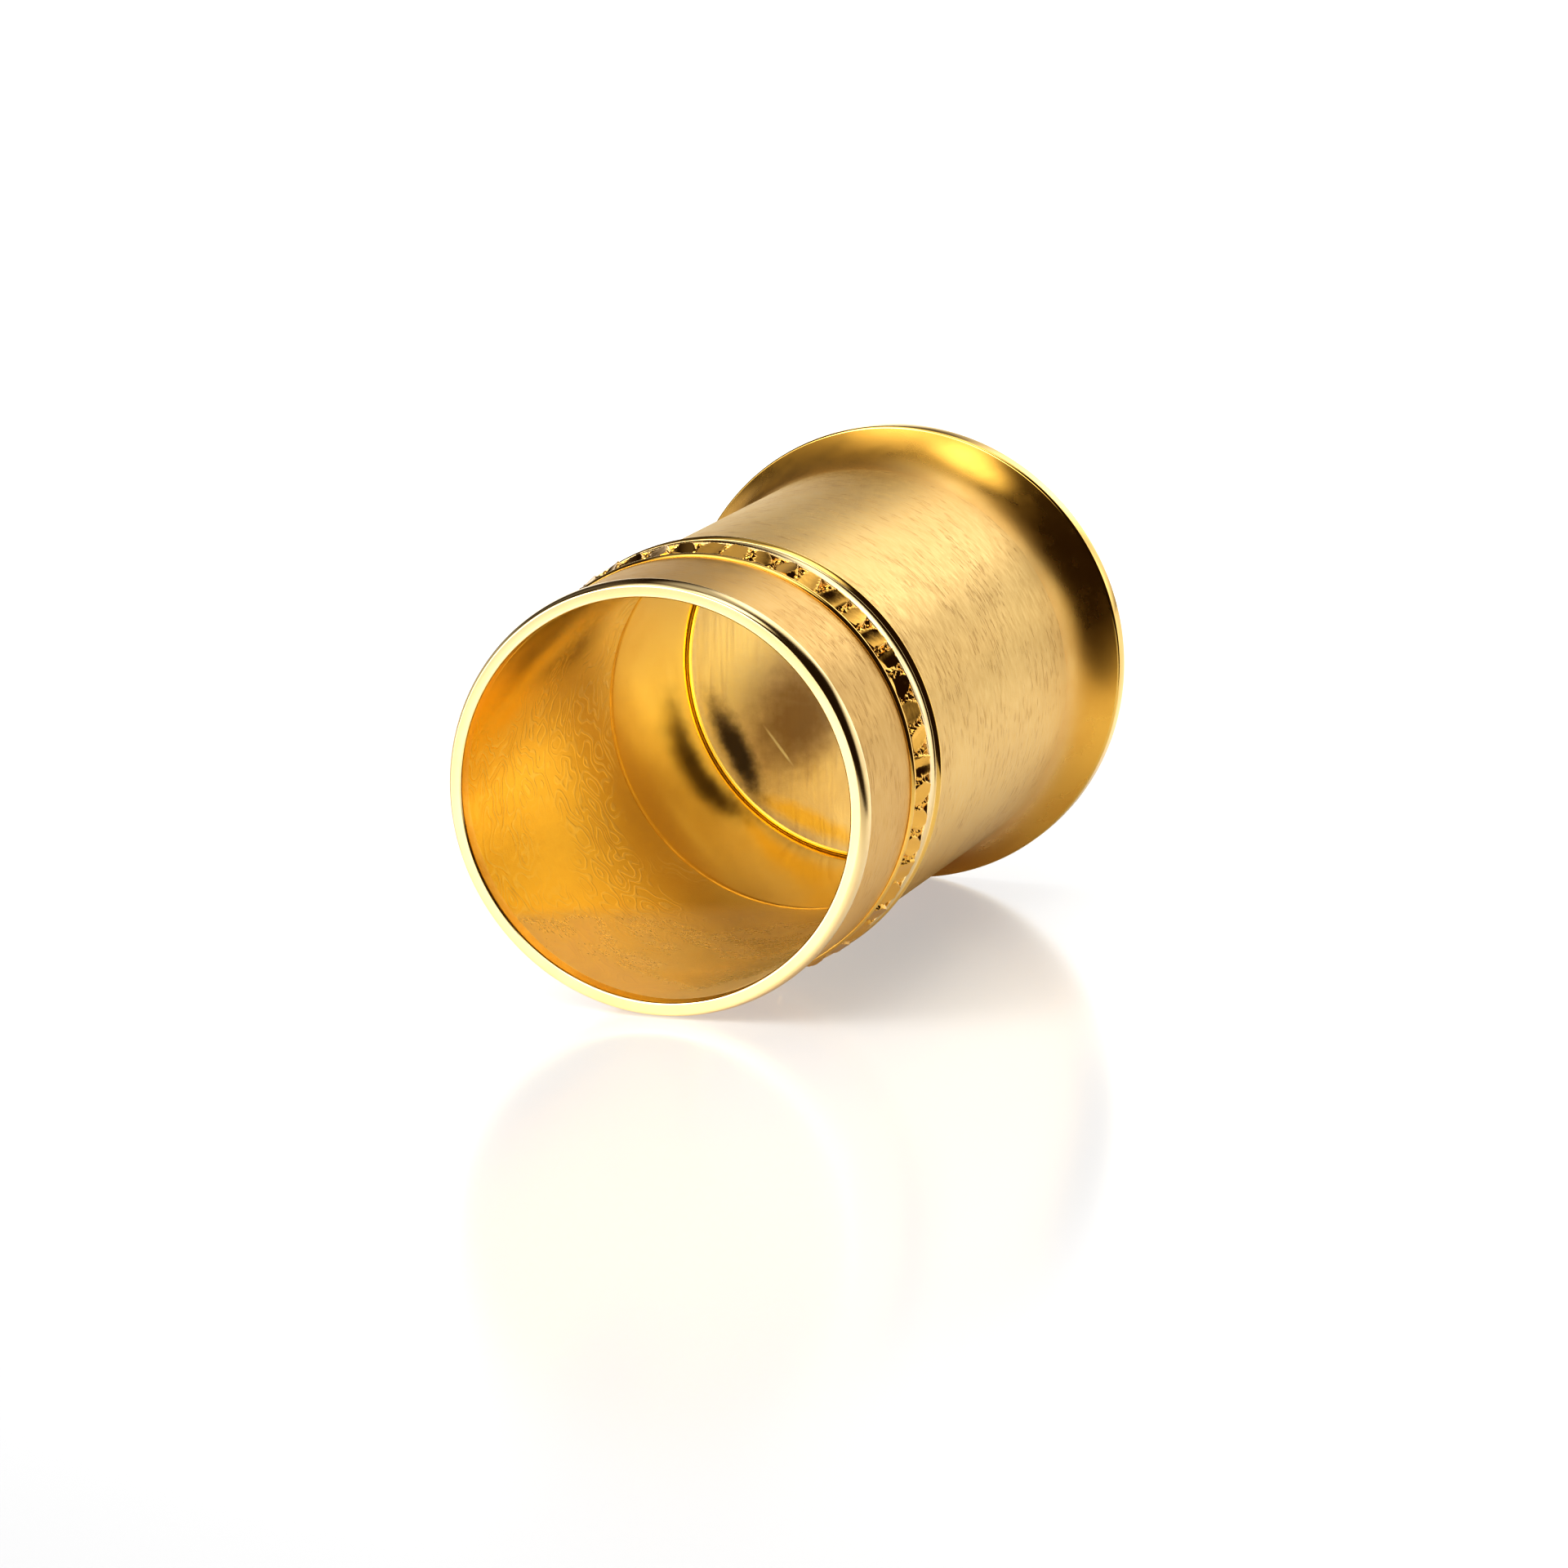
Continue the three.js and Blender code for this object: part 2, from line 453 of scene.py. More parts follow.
class EffectLibrary:
    """The surface effects that several finishes share, each built once as a node group."""

    # Noise scale of the deeper strokes against the fine ones: X and Y go round the axis, and Z along it
    DEEP_SPACING = (0.9, 0.9, 0.8)

    def __init__(self) -> None:
        """Builds every group."""
        self.groups = {
            Effect.BRUSHING: self._brushing(),
            Effect.SWIRLS: self._swirls(),
            Effect.HANDLING: self._handling(),
            Effect.RIPPLE: self._ripple(),
            Effect.EDGES: self._edges(),
        }

    def place(self, nodes: NodeTree, effect: Effect, **values: float) -> bpy.types.Node:
        """Group node of an effect, with values for its inputs whose names have underscores for spaces."""
        inputs = {name.replace("_", " ").title(): value for name, value in values.items()}
        return nodes.add("Group", inputs, node_tree=self.groups[effect])

    @staticmethod
    def _group(
        effect: Effect, inputs: dict[str, float], outputs: list[str]
    ) -> tuple[NodeTree, bpy.types.Node, bpy.types.Node]:
        """Starts a node group.

        Args:
            effect: The effect that the group makes.
            inputs: Its inputs and their starting values.
            outputs: The names of its outputs.

        Returns:
            The group's nodes, its input node and its output node.
        """
        tree = bpy.data.node_groups.new(effect.value, "ShaderNodeTree")
        for name, value in inputs.items():
            socket = tree.interface.new_socket(name=name, in_out="INPUT", socket_type="NodeSocketFloat")
            socket.default_value = value
        for name in outputs:
            tree.interface.new_socket(name=name, in_out="OUTPUT", socket_type="NodeSocketFloat")
        nodes = NodeTree(tree)
        return nodes, nodes.add("NodeGroupInput"), nodes.add("NodeGroupOutput")

    @staticmethod
    def _round_axis(nodes: NodeTree) -> bpy.types.NodeSocket:
        """Unit vector from the axis towards the surface."""
        return nodes.vector("NORMALIZE", nodes.vector("MULTIPLY", nodes.place(), (1.0, 1.0, 0.0)))

    def _brushing(self) -> bpy.types.NodeTree:
        """Fine strokes that run round the axis, with a few deeper ones among them.

        Returns:
            The group's node tree.
        """
        inputs = {"Strokes Round": 40.0, "Strokes Along": 2500.0, "Patch Scale": 90.0, "Seed": 0.0}
        nodes, given, made = self._group(Effect.BRUSHING, inputs, ["Height", "Scratch"])
        spacing = {0: self._round_axis(nodes), "Scale": given.outputs["Strokes Round"]}
        around = nodes.add("VectorMath", spacing, operation="SCALE").outputs[0]
        closeness, seed = given.outputs["Strokes Along"], given.outputs["Seed"]
        across = nodes.math("MULTIPLY_ADD", nodes.stored("along"), closeness, seed)
        place = nodes.vector("ADD", around, nodes.add("CombineXYZ", {"Z": across}).outputs[0])
        nodes.put(nodes.noise(place, 1.0, detail=3.0, rough=0.65), made.inputs["Height"])
        sparse = nodes.noise(nodes.vector("MULTIPLY", place, self.DEEP_SPACING), 1.0, detail=1.0)
        deep = nodes.ramp(sparse, low=0.58, high=0.68)
        patch = nodes.ramp(nodes.noise(nodes.place(), given.outputs["Patch Scale"]), low=0.38, high=0.52)
        nodes.put(nodes.math("MULTIPLY", deep, patch), made.inputs["Scratch"])
        return nodes.tree

    def _swirls(self) -> bpy.types.NodeTree:
        """Curled rubbing lines in patches, as a cloth and paste leave them.

        Returns:
            The group's node tree.
        """
        inputs = {"Curl Scale": 90.0, "Lines": 60.0, "Patch Scale": 40.0}
        nodes, given, made = self._group(Effect.SWIRLS, inputs, ["Height", "Patch"])
        place = nodes.place()
        swell = nodes.noise(place, given.outputs["Curl Scale"], detail=1.0, rough=0.4)
        waves = nodes.math("SINE", nodes.math("MULTIPLY", swell, given.outputs["Lines"]))
        lines = nodes.ramp(waves, low=0.2, high=0.95)
        patch = nodes.ramp(nodes.noise(place, given.outputs["Patch Scale"]), low=0.42, high=0.56)
        nodes.put(nodes.math("MULTIPLY", lines, patch), made.inputs["Height"])
        nodes.put(patch, made.inputs["Patch"])
        return nodes.tree

    def _handling(self) -> bpy.types.NodeTree:
        """Cloudy marks that fingers and wiping leave.

        Returns:
            The group's node tree.
        """
        nodes, given, made = self._group(Effect.HANDLING, {"Cloud Scale": 60.0}, ["Cloud"])
        cloud = nodes.noise(nodes.place(), given.outputs["Cloud Scale"], detail=4.0, rough=0.6)
        nodes.put(nodes.ramp(cloud, low=0.35, high=0.7), made.inputs["Cloud"])
        return nodes.tree

    def _ripple(self) -> bpy.types.NodeTree:
        """The soft unevenness of a surface that was polished by hand.

        Returns:
            The group's node tree.
        """
        nodes, given, made = self._group(Effect.RIPPLE, {"Ripple Scale": 150.0}, ["Height"])
        swell = nodes.noise(nodes.place(), given.outputs["Ripple Scale"], detail=1.0, rough=0.4)
        nodes.put(swell, made.inputs["Height"])
        return nodes.tree

    def _edges(self) -> bpy.types.NodeTree:
        """Where an outline turns, broken up by noise as real wear is.

        Returns:
            The group's node tree.
        """
        nodes, given, made = self._group(Effect.EDGES, {"Break Scale": 900.0}, ["Wear"])
        breaks = nodes.noise(nodes.place(), given.outputs["Break Scale"], detail=3.0)
        broken = nodes.ramp(breaks, low=0.3, high=0.7, start=0.3, end=1.0)
        corner = nodes.ramp(nodes.stored("edge"), low=0.02, high=0.25)
        nodes.put(nodes.math("MULTIPLY", corner, broken), made.inputs["Wear"])
        return nodes.tree


@dataclass(frozen=True)
class Strokes:
    """Brushing that runs round the axis.

    Attributes:
        around: How short the strokes are, as a noise scale round the axis.
        along: How close they lie, as a noise scale along the axis.
        seed: Where in the noise they start.
    """

    around: float
    along: float
    seed: float = 0.0

    def place(self, nodes: NodeTree, effects: EffectLibrary) -> bpy.types.Node:
        """Places the brushing in a material."""
        sizes = {"strokes_round": self.around, "strokes_along": self.along, "seed": self.seed}
        return effects.place(nodes, Effect.BRUSHING, **sizes)


SATIN_STROKES = Strokes(around=14.0, along=2600.0)


@dataclass(frozen=True)
class GoldFinish:
    """A gold surface: its colours, its gloss and the marks on it.

    Attributes:
        finish: Which finish this is.
        colour: The clean metal.
        marks_and_shade: The metal where it is handled or dull; on the chased strip, the painted shade in
            its pits.
        smooth: The roughness of its glossiest places.
        dull: The roughness of its dullest places.
        grain: How high the fine marks stand.
        stretch: How much the gloss is drawn out along the axis.
    """

    finish: Finish
    colour: Colour
    marks_and_shade: Colour
    smooth: float
    dull: float
    grain: float
    stretch: float = 0.0

    # A quarter of a turn draws the gloss out across the strokes
    STRETCH_TURN = 0.25

    def material(self, effects: EffectLibrary) -> bpy.types.Material:
        """Makes the material.

        Args:
            effects: The shared surface effects.

        Returns:
            The new material.
        """
        material, nodes = new_material(self.finish.value)
        shader = nodes.add("BsdfPrincipled")
        shader.inputs["Metallic"].default_value = 1.0
        shader.inputs["Anisotropic"].default_value = self.stretch
        shader.inputs["Anisotropic Rotation"].default_value = self.STRETCH_TURN
        self.surface(nodes, shader, effects)
        nodes.end("OutputMaterial", shader.outputs["BSDF"])
        return material

    def surface(self, nodes: NodeTree, shader: bpy.types.Node, effects: EffectLibrary) -> None:
        """Joins the finish's own marks to the shader."""
        raise NotImplementedError

    def bump(
        self, nodes: NodeTree, height: object, depth: float, below: object = None
    ) -> bpy.types.NodeSocket:
        """Adds a bump on top of another.

        Args:
            nodes: The material's nodes.
            height: The height output, from 0 to 1.
            depth: The depth that 1 stands for.
            below: The normal that it goes on, if any.

        Returns:
            The bumped normal's socket.
        """
        node = nodes.add("Bump", {"Height": height, "Distance": depth, "Strength": 1.0})
        if below is not None:
            nodes.put(below, node.inputs["Normal"])
        return node.outputs["Normal"]

    def gloss(
        self, nodes: NodeTree, dulled: object, low: float = 0.0, high: float = 1.0
    ) -> bpy.types.NodeSocket:
        """Roughness from the glossiest to the dullest, as a value goes from low to high."""
        return nodes.ramp(dulled, low, high, self.smooth, self.dull)


@dataclass(frozen=True)
class SatinGold(GoldFinish):
    """Satin metal, brushed round the axis in short strokes.

    Attributes:
        strokes: Its brushing.
        stroke_levels: The stroke heights between which the gloss changes.
        scratch_depth: How deep a deeper stroke is, in grains.
        scratch_tone: How much a deeper stroke tints the metal.
        cloud_scale: The size of the handling marks, as a noise scale.
        cloud_tone: How much a handling mark tints the metal.
        upper_tone: How much it is tinted darker from a little below the band up to the mouth.
    """

    strokes: Strokes = SATIN_STROKES
    stroke_levels: Range = (0.3, 0.7)
    scratch_depth: float = 2.2
    scratch_tone: float = 0.6
    cloud_scale: float = 45.0
    cloud_tone: float = 0.3
    upper_tone: float = 0.6

    def surface(self, nodes: NodeTree, shader: bpy.types.Node, effects: EffectLibrary) -> None:
        """Joins brushing, deeper strokes and handling marks to the shader.

        Args:
            nodes: The material's nodes.
            shader: Its shader.
            effects: The shared surface effects.
        """
        brush = self.strokes.place(nodes, effects)
        height, scratch = brush.outputs["Height"], brush.outputs["Scratch"]
        cloud = effects.place(nodes, Effect.HANDLING, cloud_scale=self.cloud_scale).outputs["Cloud"]
        # Darker tint on the satin from a little below the band up to the mouth
        upper_darkening = nodes.ramp(nodes.stored("drop_below_band"), 0.0, 1.0, self.upper_tone, 0.0)
        clouded = nodes.math("MULTIPLY_ADD", cloud, self.cloud_tone, upper_darkening)
        tone = nodes.math("MULTIPLY_ADD", scratch, self.scratch_tone, clouded)
        nodes.put(nodes.blend(tone, self.colour, self.marks_and_shade), shader.inputs["Base Color"])
        nodes.put(self.gloss(nodes, height, *self.stroke_levels), shader.inputs["Roughness"])
        fine = self.bump(nodes, height, self.grain)
        cut = self.bump(nodes, scratch, -self.scratch_depth * self.grain, fine)
        nodes.put(cut, shader.inputs["Normal"])


@dataclass(frozen=True)
class PolishedGold(GoldFinish):
    """Bright metal, polished by hand, with wiping marks and worn edges.

    Attributes:
        hairs: The fine hairlines of the polish.
        ripple_scale: The size of the ripple, as a noise scale.
        ripple: How high the ripple stands.
        cloud_scale: The size of the wiping marks, as a noise scale.
        wear_tone: How much a worn edge tints the metal.
        cloud_tone: How much a wiping mark tints it.
        wear_dulls: How much a worn edge dulls it.
        cloud_dulls: How much a wiping mark dulls it.
    """

    hairs: Strokes = Strokes(around=9.0, along=5200.0, seed=7.0)
    ripple_scale: float = 160.0
    ripple: float = 20 * MICRON
    cloud_scale: float = 80.0
    wear_tone: float = 0.35
    cloud_tone: float = 0.3
    wear_dulls: float = 0.4
    cloud_dulls: float = 0.6

    def surface(self, nodes: NodeTree, shader: bpy.types.Node, effects: EffectLibrary) -> None:
        """Joins ripple, hairlines, wiping marks and edge wear to the shader.

        Args:
            nodes: The material's nodes.
            shader: Its shader.
            effects: The shared surface effects.
        """
        ripple = effects.place(nodes, Effect.RIPPLE, ripple_scale=self.ripple_scale)
        hair = self.hairs.place(nodes, effects)
        cloud = effects.place(nodes, Effect.HANDLING, cloud_scale=self.cloud_scale).outputs["Cloud"]
        wear = effects.place(nodes, Effect.EDGES).outputs["Wear"]
        clouded = nodes.math("MULTIPLY", cloud, self.cloud_tone)
        tone = nodes.math("MULTIPLY_ADD", wear, self.wear_tone, clouded)
        nodes.put(nodes.blend(tone, self.colour, self.marks_and_shade), shader.inputs["Base Color"])
        wiped = nodes.math("MULTIPLY", cloud, self.cloud_dulls)
        dulled = nodes.math("MULTIPLY_ADD", wear, self.wear_dulls, wiped)
        nodes.put(self.gloss(nodes, dulled), shader.inputs["Roughness"])
        soft = self.bump(nodes, ripple.outputs["Height"], self.ripple)
        nodes.put(self.bump(nodes, hair.outputs["Height"], self.grain, soft), shader.inputs["Normal"])


@dataclass(frozen=True)
class ChasedGold(GoldFinish):
    """Bright-cut metal whose pits are painted near-black, as painted shade.

    Attributes:
        pit_levels: The depths in a pit between which the painted shade turns the metal dark.
        ripple_scale: The size of the ripple, as a noise scale.
        cloud_scale: The size of the handling marks, as a noise scale.
        cloud_dulls: How much a handling mark dulls the metal.
    """

    pit_levels: Range = (0.15, 0.9)
    ripple_scale: float = 900.0
    cloud_scale: float = 400.0
    cloud_dulls: float = 0.5

    def surface(self, nodes: NodeTree, shader: bpy.types.Node, effects: EffectLibrary) -> None:
        """Joins the painted shade of the pits, the ripple and the handling marks to the shader.

        Args:
            nodes: The material's nodes.
            shader: Its shader.
            effects: The shared surface effects.
        """
        pit = nodes.stored("pit")
        cloud = effects.place(nodes, Effect.HANDLING, cloud_scale=self.cloud_scale).outputs["Cloud"]
        ripple = effects.place(nodes, Effect.RIPPLE, ripple_scale=self.ripple_scale)
        # Painted shade: the metal darkens to near-black down in each pit
        dark = nodes.ramp(pit, *self.pit_levels)
        nodes.put(nodes.blend(dark, self.colour, self.marks_and_shade), shader.inputs["Base Color"])
        dulled = nodes.math("MAXIMUM", nodes.math("MULTIPLY", cloud, self.cloud_dulls), pit)
        nodes.put(self.gloss(nodes, dulled), shader.inputs["Roughness"])
        nodes.put(self.bump(nodes, ripple.outputs["Height"], self.grain), shader.inputs["Normal"])


@dataclass(frozen=True)
class PaintedBoreLight:
    """A painted highlight: a pale patch painted along the lower side of the bore, where light falls, with
    the metal also less metallic and rougher under it.

    Attributes:
        down: The direction, towards the floor, along which the patch lies.
        level: How far down its upper edge lies.
        fade: How far that edge fades to either side.
        patches: How much of it the handling marks take away.
        colour: Its painted pale colour.
        metallic: How metallic the surface stays under it.
        roughness: How much rougher the surface is under it.
    """

    down: tuple[float, float, float] = (-0.06, 0.976, 0.21)
    level: float = 43.5 * MM
    fade: float = 1.6 * MM
    patches: float = 0.3
    colour: Colour = (1.0, 0.79, 0.42, 1)
    metallic: float = 0.68
    roughness: float = 0.1

    def mask(self, nodes: NodeTree, cloud: bpy.types.NodeSocket) -> bpy.types.NodeSocket:
        """How strongly the painted pale patch shows at a place, from 0 to 1.

        Args:
            nodes: The material's nodes.
            cloud: The handling marks that break it up.

        Returns:
            The mask's socket.
        """
        depth = nodes.measure("DOT_PRODUCT", nodes.place(), self.down)
        covered = nodes.ramp(depth, self.level - self.fade, self.level + self.fade)
        kept = nodes.ramp(cloud, 0.0, 1.0, 1.0, 1.0 - self.patches)
        return nodes.math("MULTIPLY", covered, kept)


@dataclass(frozen=True)
class RubbedGold(GoldFinish):
    """Metal rubbed with a cloth, in curls and patches, with a painted highlight: a pale patch along its
    lower side.

    Attributes:
        curl_scale: The size of the curls, as a noise scale.
        lines: The number of lines in a curl.
        curl_depth: How high the lines stand.
        curl_colour: The metal's colour on a line.
        curl_share: How strongly that colour shows.
        curl_dulls: How much a patch of curls dulls the metal.
        strokes: Its brushing.
        stroke_dulls: How much the brushing dulls it.
        scratch_tone: How much a deeper stroke tints it.
        cloud_scale: The size of the handling marks, as a noise scale.
        cloud_tone: How much a handling mark tints the metal.
        painted_light: The painted pale patch on its lower side.
    """

    curl_scale: float = 170.0
    lines: float = 58.0
    curl_depth: float = 19 * MICRON
    curl_colour: Colour = (1.0, 0.87, 0.42, 1)
    curl_share: float = 0.5
    curl_dulls: float = 0.12
    strokes: Strokes = Strokes(around=30.0, along=1800.0, seed=3.0)
    stroke_dulls: float = 0.6
    scratch_tone: float = 0.2
    cloud_scale: float = 50.0
    cloud_tone: float = 0.3
    painted_light: PaintedBoreLight = PaintedBoreLight()

    def surface(self, nodes: NodeTree, shader: bpy.types.Node, effects: EffectLibrary) -> None:
        """Joins the rubbing curls, brushing, handling marks and the painted pale patch to the shader.

        Args:
            nodes: The material's nodes.
            shader: Its shader.
            effects: The shared surface effects.
        """
        curls = effects.place(nodes, Effect.SWIRLS, curl_scale=self.curl_scale, lines=self.lines)
        brush = self.strokes.place(nodes, effects)
        cloud = effects.place(nodes, Effect.HANDLING, cloud_scale=self.cloud_scale).outputs["Cloud"]
        clouded = nodes.math("MULTIPLY", cloud, self.cloud_tone)
        tone = nodes.math("MULTIPLY_ADD", brush.outputs["Scratch"], self.scratch_tone, clouded)
        metal = nodes.blend(tone, self.colour, self.marks_and_shade)
        rubbed = nodes.math("MULTIPLY", curls.outputs["Height"], self.curl_share)
        metal = nodes.blend(rubbed, metal, self.curl_colour)
        # Painted highlight: a pale patch along the lower side of the bore, also less metallic and rougher
        painted_light = self.painted_light.mask(nodes, cloud)
        nodes.put(nodes.blend(painted_light, metal, self.painted_light.colour), shader.inputs["Base Color"])
        nodes.put(nodes.ramp(painted_light, 0.0, 1.0, 1.0, self.painted_light.metallic), shader.inputs["Metallic"])
        brushed = nodes.math("MULTIPLY", brush.outputs["Height"], self.stroke_dulls)
        dulled = nodes.math("MULTIPLY_ADD", curls.outputs["Patch"], self.curl_dulls, brushed)
        bare = self.gloss(nodes, dulled)
        nodes.put(nodes.math("MULTIPLY_ADD", painted_light, self.painted_light.roughness, bare), shader.inputs["Roughness"])
        fine = self.bump(nodes, brush.outputs["Height"], self.grain)
        nodes.put(self.bump(nodes, curls.outputs["Height"], self.curl_depth, fine), shader.inputs["Normal"])


@dataclass(frozen=True)
class BurnishedGold(GoldFinish):
    """Satin at the neck of the foot, turning to a soft polish towards its edge.

    Attributes:
        satin: The roughness of the satin.
        satin_colour: The metal's colour there.
        strokes: The satin's brushing.
        strokes_left: How much of the brushing the polish leaves.
        ripple_scale: The size of the polish's ripple, as a noise scale.
        ripple: How high the ripple stands.
        cloud_scale: The size of the handling marks, as a noise scale.
        cloud_tone: How much a handling mark tints the metal.
    """

    satin: float = 0.36
    satin_colour: Colour = SATIN_COLOUR
    strokes: Strokes = SATIN_STROKES
    strokes_left: float = 0.15
    ripple_scale: float = 130.0
    ripple: float = 30 * MICRON
    cloud_scale: float = 70.0
    cloud_tone: float = 0.4

    def surface(self, nodes: NodeTree, shader: bpy.types.Node, effects: EffectLibrary) -> None:
        """Joins the turn from satin to polish, the ripple, brushing and handling marks to the shader.

        Args:
            nodes: The material's nodes.
            shader: Its shader.
            effects: The shared surface effects.
        """
        polish = nodes.stored("polish")
        brush = self.strokes.place(nodes, effects)
        ripple = effects.place(nodes, Effect.RIPPLE, ripple_scale=self.ripple_scale)
        cloud = effects.place(nodes, Effect.HANDLING, cloud_scale=self.cloud_scale).outputs["Cloud"]
        share = nodes.ramp(polish, 0.0, 1.0)
        metal = nodes.blend(share, self.satin_colour, self.colour)
        clouded = nodes.math("MULTIPLY", cloud, self.cloud_tone)
        nodes.put(nodes.blend(clouded, metal, self.marks_and_shade), shader.inputs["Base Color"])
        mixed = nodes.add("Mix", {"Factor": share, "A": self.satin, "B": self.gloss(nodes, cloud)})
        nodes.put(mixed.outputs[0], shader.inputs["Roughness"])
        soft = self.bump(nodes, ripple.outputs["Height"], self.ripple)
        left = nodes.ramp(polish, 0.0, 1.0, 1.0, self.strokes_left)
        faded = nodes.math("MULTIPLY", brush.outputs["Height"], left)
        nodes.put(self.bump(nodes, faded, self.grain, soft), shader.inputs["Normal"])


@dataclass(frozen=True)
class StainOrReflection:
    """A soft-edged patch of colour on the cup's floor: a real stain or scratch, or a painted reflection, as
    its name says.

    Attributes:
        name: What it looks like, which labels its node.
        place: Its middle.
        turn: The angle of its long side from the X axis, in degrees.
        half_length: Half of its length.
        half_width: Half of its width.
        colour: The metal under it.
        softness: How far its edge fades, as a share of its size.
    """

    name: str
    place: Point
    turn: float
    half_length: float
    half_width: float
    colour: Colour
    softness: float

    # How far noise moves the edge, as a share of the patch's size
    RAGGED = 0.9

    def mask(self, nodes: NodeTree, raggedness: bpy.types.NodeSocket) -> bpy.types.NodeSocket:
        """How strongly the patch shows at a place, from 0 to 1.

        Args:
            nodes: The material's nodes.
            raggedness: Noise from 0 to 1 that breaks up its edge.

        Returns:
            The mask's socket.
        """
        place = nodes.add("Mapping", {"Vector": nodes.place()}, vector_type="TEXTURE", label=self.name)
        place.inputs["Location"].default_value = (*self.place, 0.0)
        place.inputs["Rotation"].default_value = (0.0, 0.0, math.radians(self.turn))
        place.inputs["Scale"].default_value = (self.half_length, self.half_width, 1.0)
        reach = nodes.measure("LENGTH", nodes.vector("MULTIPLY", place.outputs[0], (1.0, 1.0, 0.0)))
        ragged = nodes.math("MULTIPLY_ADD", raggedness, self.RAGGED, reach)
        edge = 1 + self.RAGGED / 2
        return nodes.ramp(ragged, edge - self.softness, edge + self.softness, 1.0, 0.0)


@dataclass(frozen=True)
class DiscGold(GoldFinish):
    """The cup's floor: straight faint brushing, fine scratches, a few stains and two painted reflections.

    Attributes:
        stains_and_reflections: Its stains and painted reflections, one over the other. The last one dulls
            the metal too.
        brush_scale: The noise scale of the brushing across its strokes, along them and through the metal.
        brush_levels: The brushing heights between which the gloss changes.
        curl_scale: The size of the rubbing curls, as a noise scale.
        lines: The number of lines in a curl.
        patch_scale: The size of the patches of curls, as a noise scale.
        curl_depth: How high the lines stand, in grains.
        ragged_scale: The size of the breaks in the stains' edges, as a noise scale.
        cloud_scale: The size of the handling marks, as a noise scale.
        cloud_tone: How much a handling mark tints the metal.
    """

    stains_and_reflections: tuple[StainOrReflection, ...] = (
        # Painted reflection: a pale patch where the floor mirrors the pan wall's bright highlight
        StainOrReflection("painted reflection of the pan wall's highlight", (27.0 * MM, -3.0 * MM), 100.0, 13.0 * MM, 9.0 * MM, (0.99, 0.92, 0.80, 1), 0.8),
        # Painted reflection: a brown patch where the floor mirrors the darker, shaded bore wall
        StainOrReflection("painted reflection of the shaded bore", (12.5 * MM, 8.5 * MM), 60.0, 10.0 * MM, 6.5 * MM, (0.48, 0.34, 0.21, 1), 0.75),
        StainOrReflection("gold streak", (11.0 * MM, 26.0 * MM), 159.0, 8.0 * MM, 1.6 * MM, (0.98, 0.70, 0.20, 1), 0.6),
        StainOrReflection("rim haze", (15.0 * MM, 28.5 * MM), 155.0, 9.0 * MM, 1.8 * MM, (0.70, 0.58, 0.48, 1), 0.7),
        StainOrReflection("scratch", (16.0 * MM, 13.7 * MM), 128.0, 3.2 * MM, 0.25 * MM, (1.0, 0.93, 0.78, 1), 0.5),
        StainOrReflection("smudge", (23.6 * MM, 14.7 * MM), 116.7, 8.2 * MM, 2.1 * MM, (0.17, 0.14, 0.115, 1), 0.65),
    )
    brush_scale: tuple[float, float, float] = (2200.0, 90.0, 0.0)
    brush_levels: Range = (0.2, 1.0)
    curl_scale: float = 120.0
    lines: float = 160.0
    patch_scale: float = 60.0
    curl_depth: float = 0.3
    ragged_scale: float = 380.0
    cloud_scale: float = 55.0
    cloud_tone: float = 0.6

    def surface(self, nodes: NodeTree, shader: bpy.types.Node, effects: EffectLibrary) -> None:
        """Joins the straight brushing, the marks, the stains and the painted reflections to the shader.

        Args:
            nodes: The material's nodes.
            shader: Its shader.
            effects: The shared surface effects.
        """
        place = nodes.place()
        brush = nodes.noise(nodes.vector("MULTIPLY", place, self.brush_scale), 1.0, detail=3.0, rough=0.6)
        cloud = effects.place(nodes, Effect.HANDLING, cloud_scale=self.cloud_scale).outputs["Cloud"]
        sizes = {"curl_scale": self.curl_scale, "lines": self.lines, "patch_scale": self.patch_scale}
        curls = effects.place(nodes, Effect.SWIRLS, **sizes)
        metal = nodes.blend(nodes.math("MULTIPLY", cloud, self.cloud_tone), self.colour, self.marks_and_shade)
        ragged = nodes.noise(place, self.ragged_scale, detail=4.0, rough=0.6)
        masks = [spot.mask(nodes, ragged) for spot in self.stains_and_reflections]
        for spot, mask in zip(self.stains_and_reflections, masks):
            metal = nodes.blend(mask, metal, spot.colour)
        nodes.put(metal, shader.inputs["Base Color"])
        dulled = nodes.math("MAXIMUM", brush, masks[-1])
        nodes.put(self.gloss(nodes, dulled, *self.brush_levels), shader.inputs["Roughness"])
        fine = self.bump(nodes, brush, self.grain)
        curled = self.bump(nodes, curls.outputs["Height"], self.curl_depth * self.grain, fine)
        nodes.put(curled, shader.inputs["Normal"])


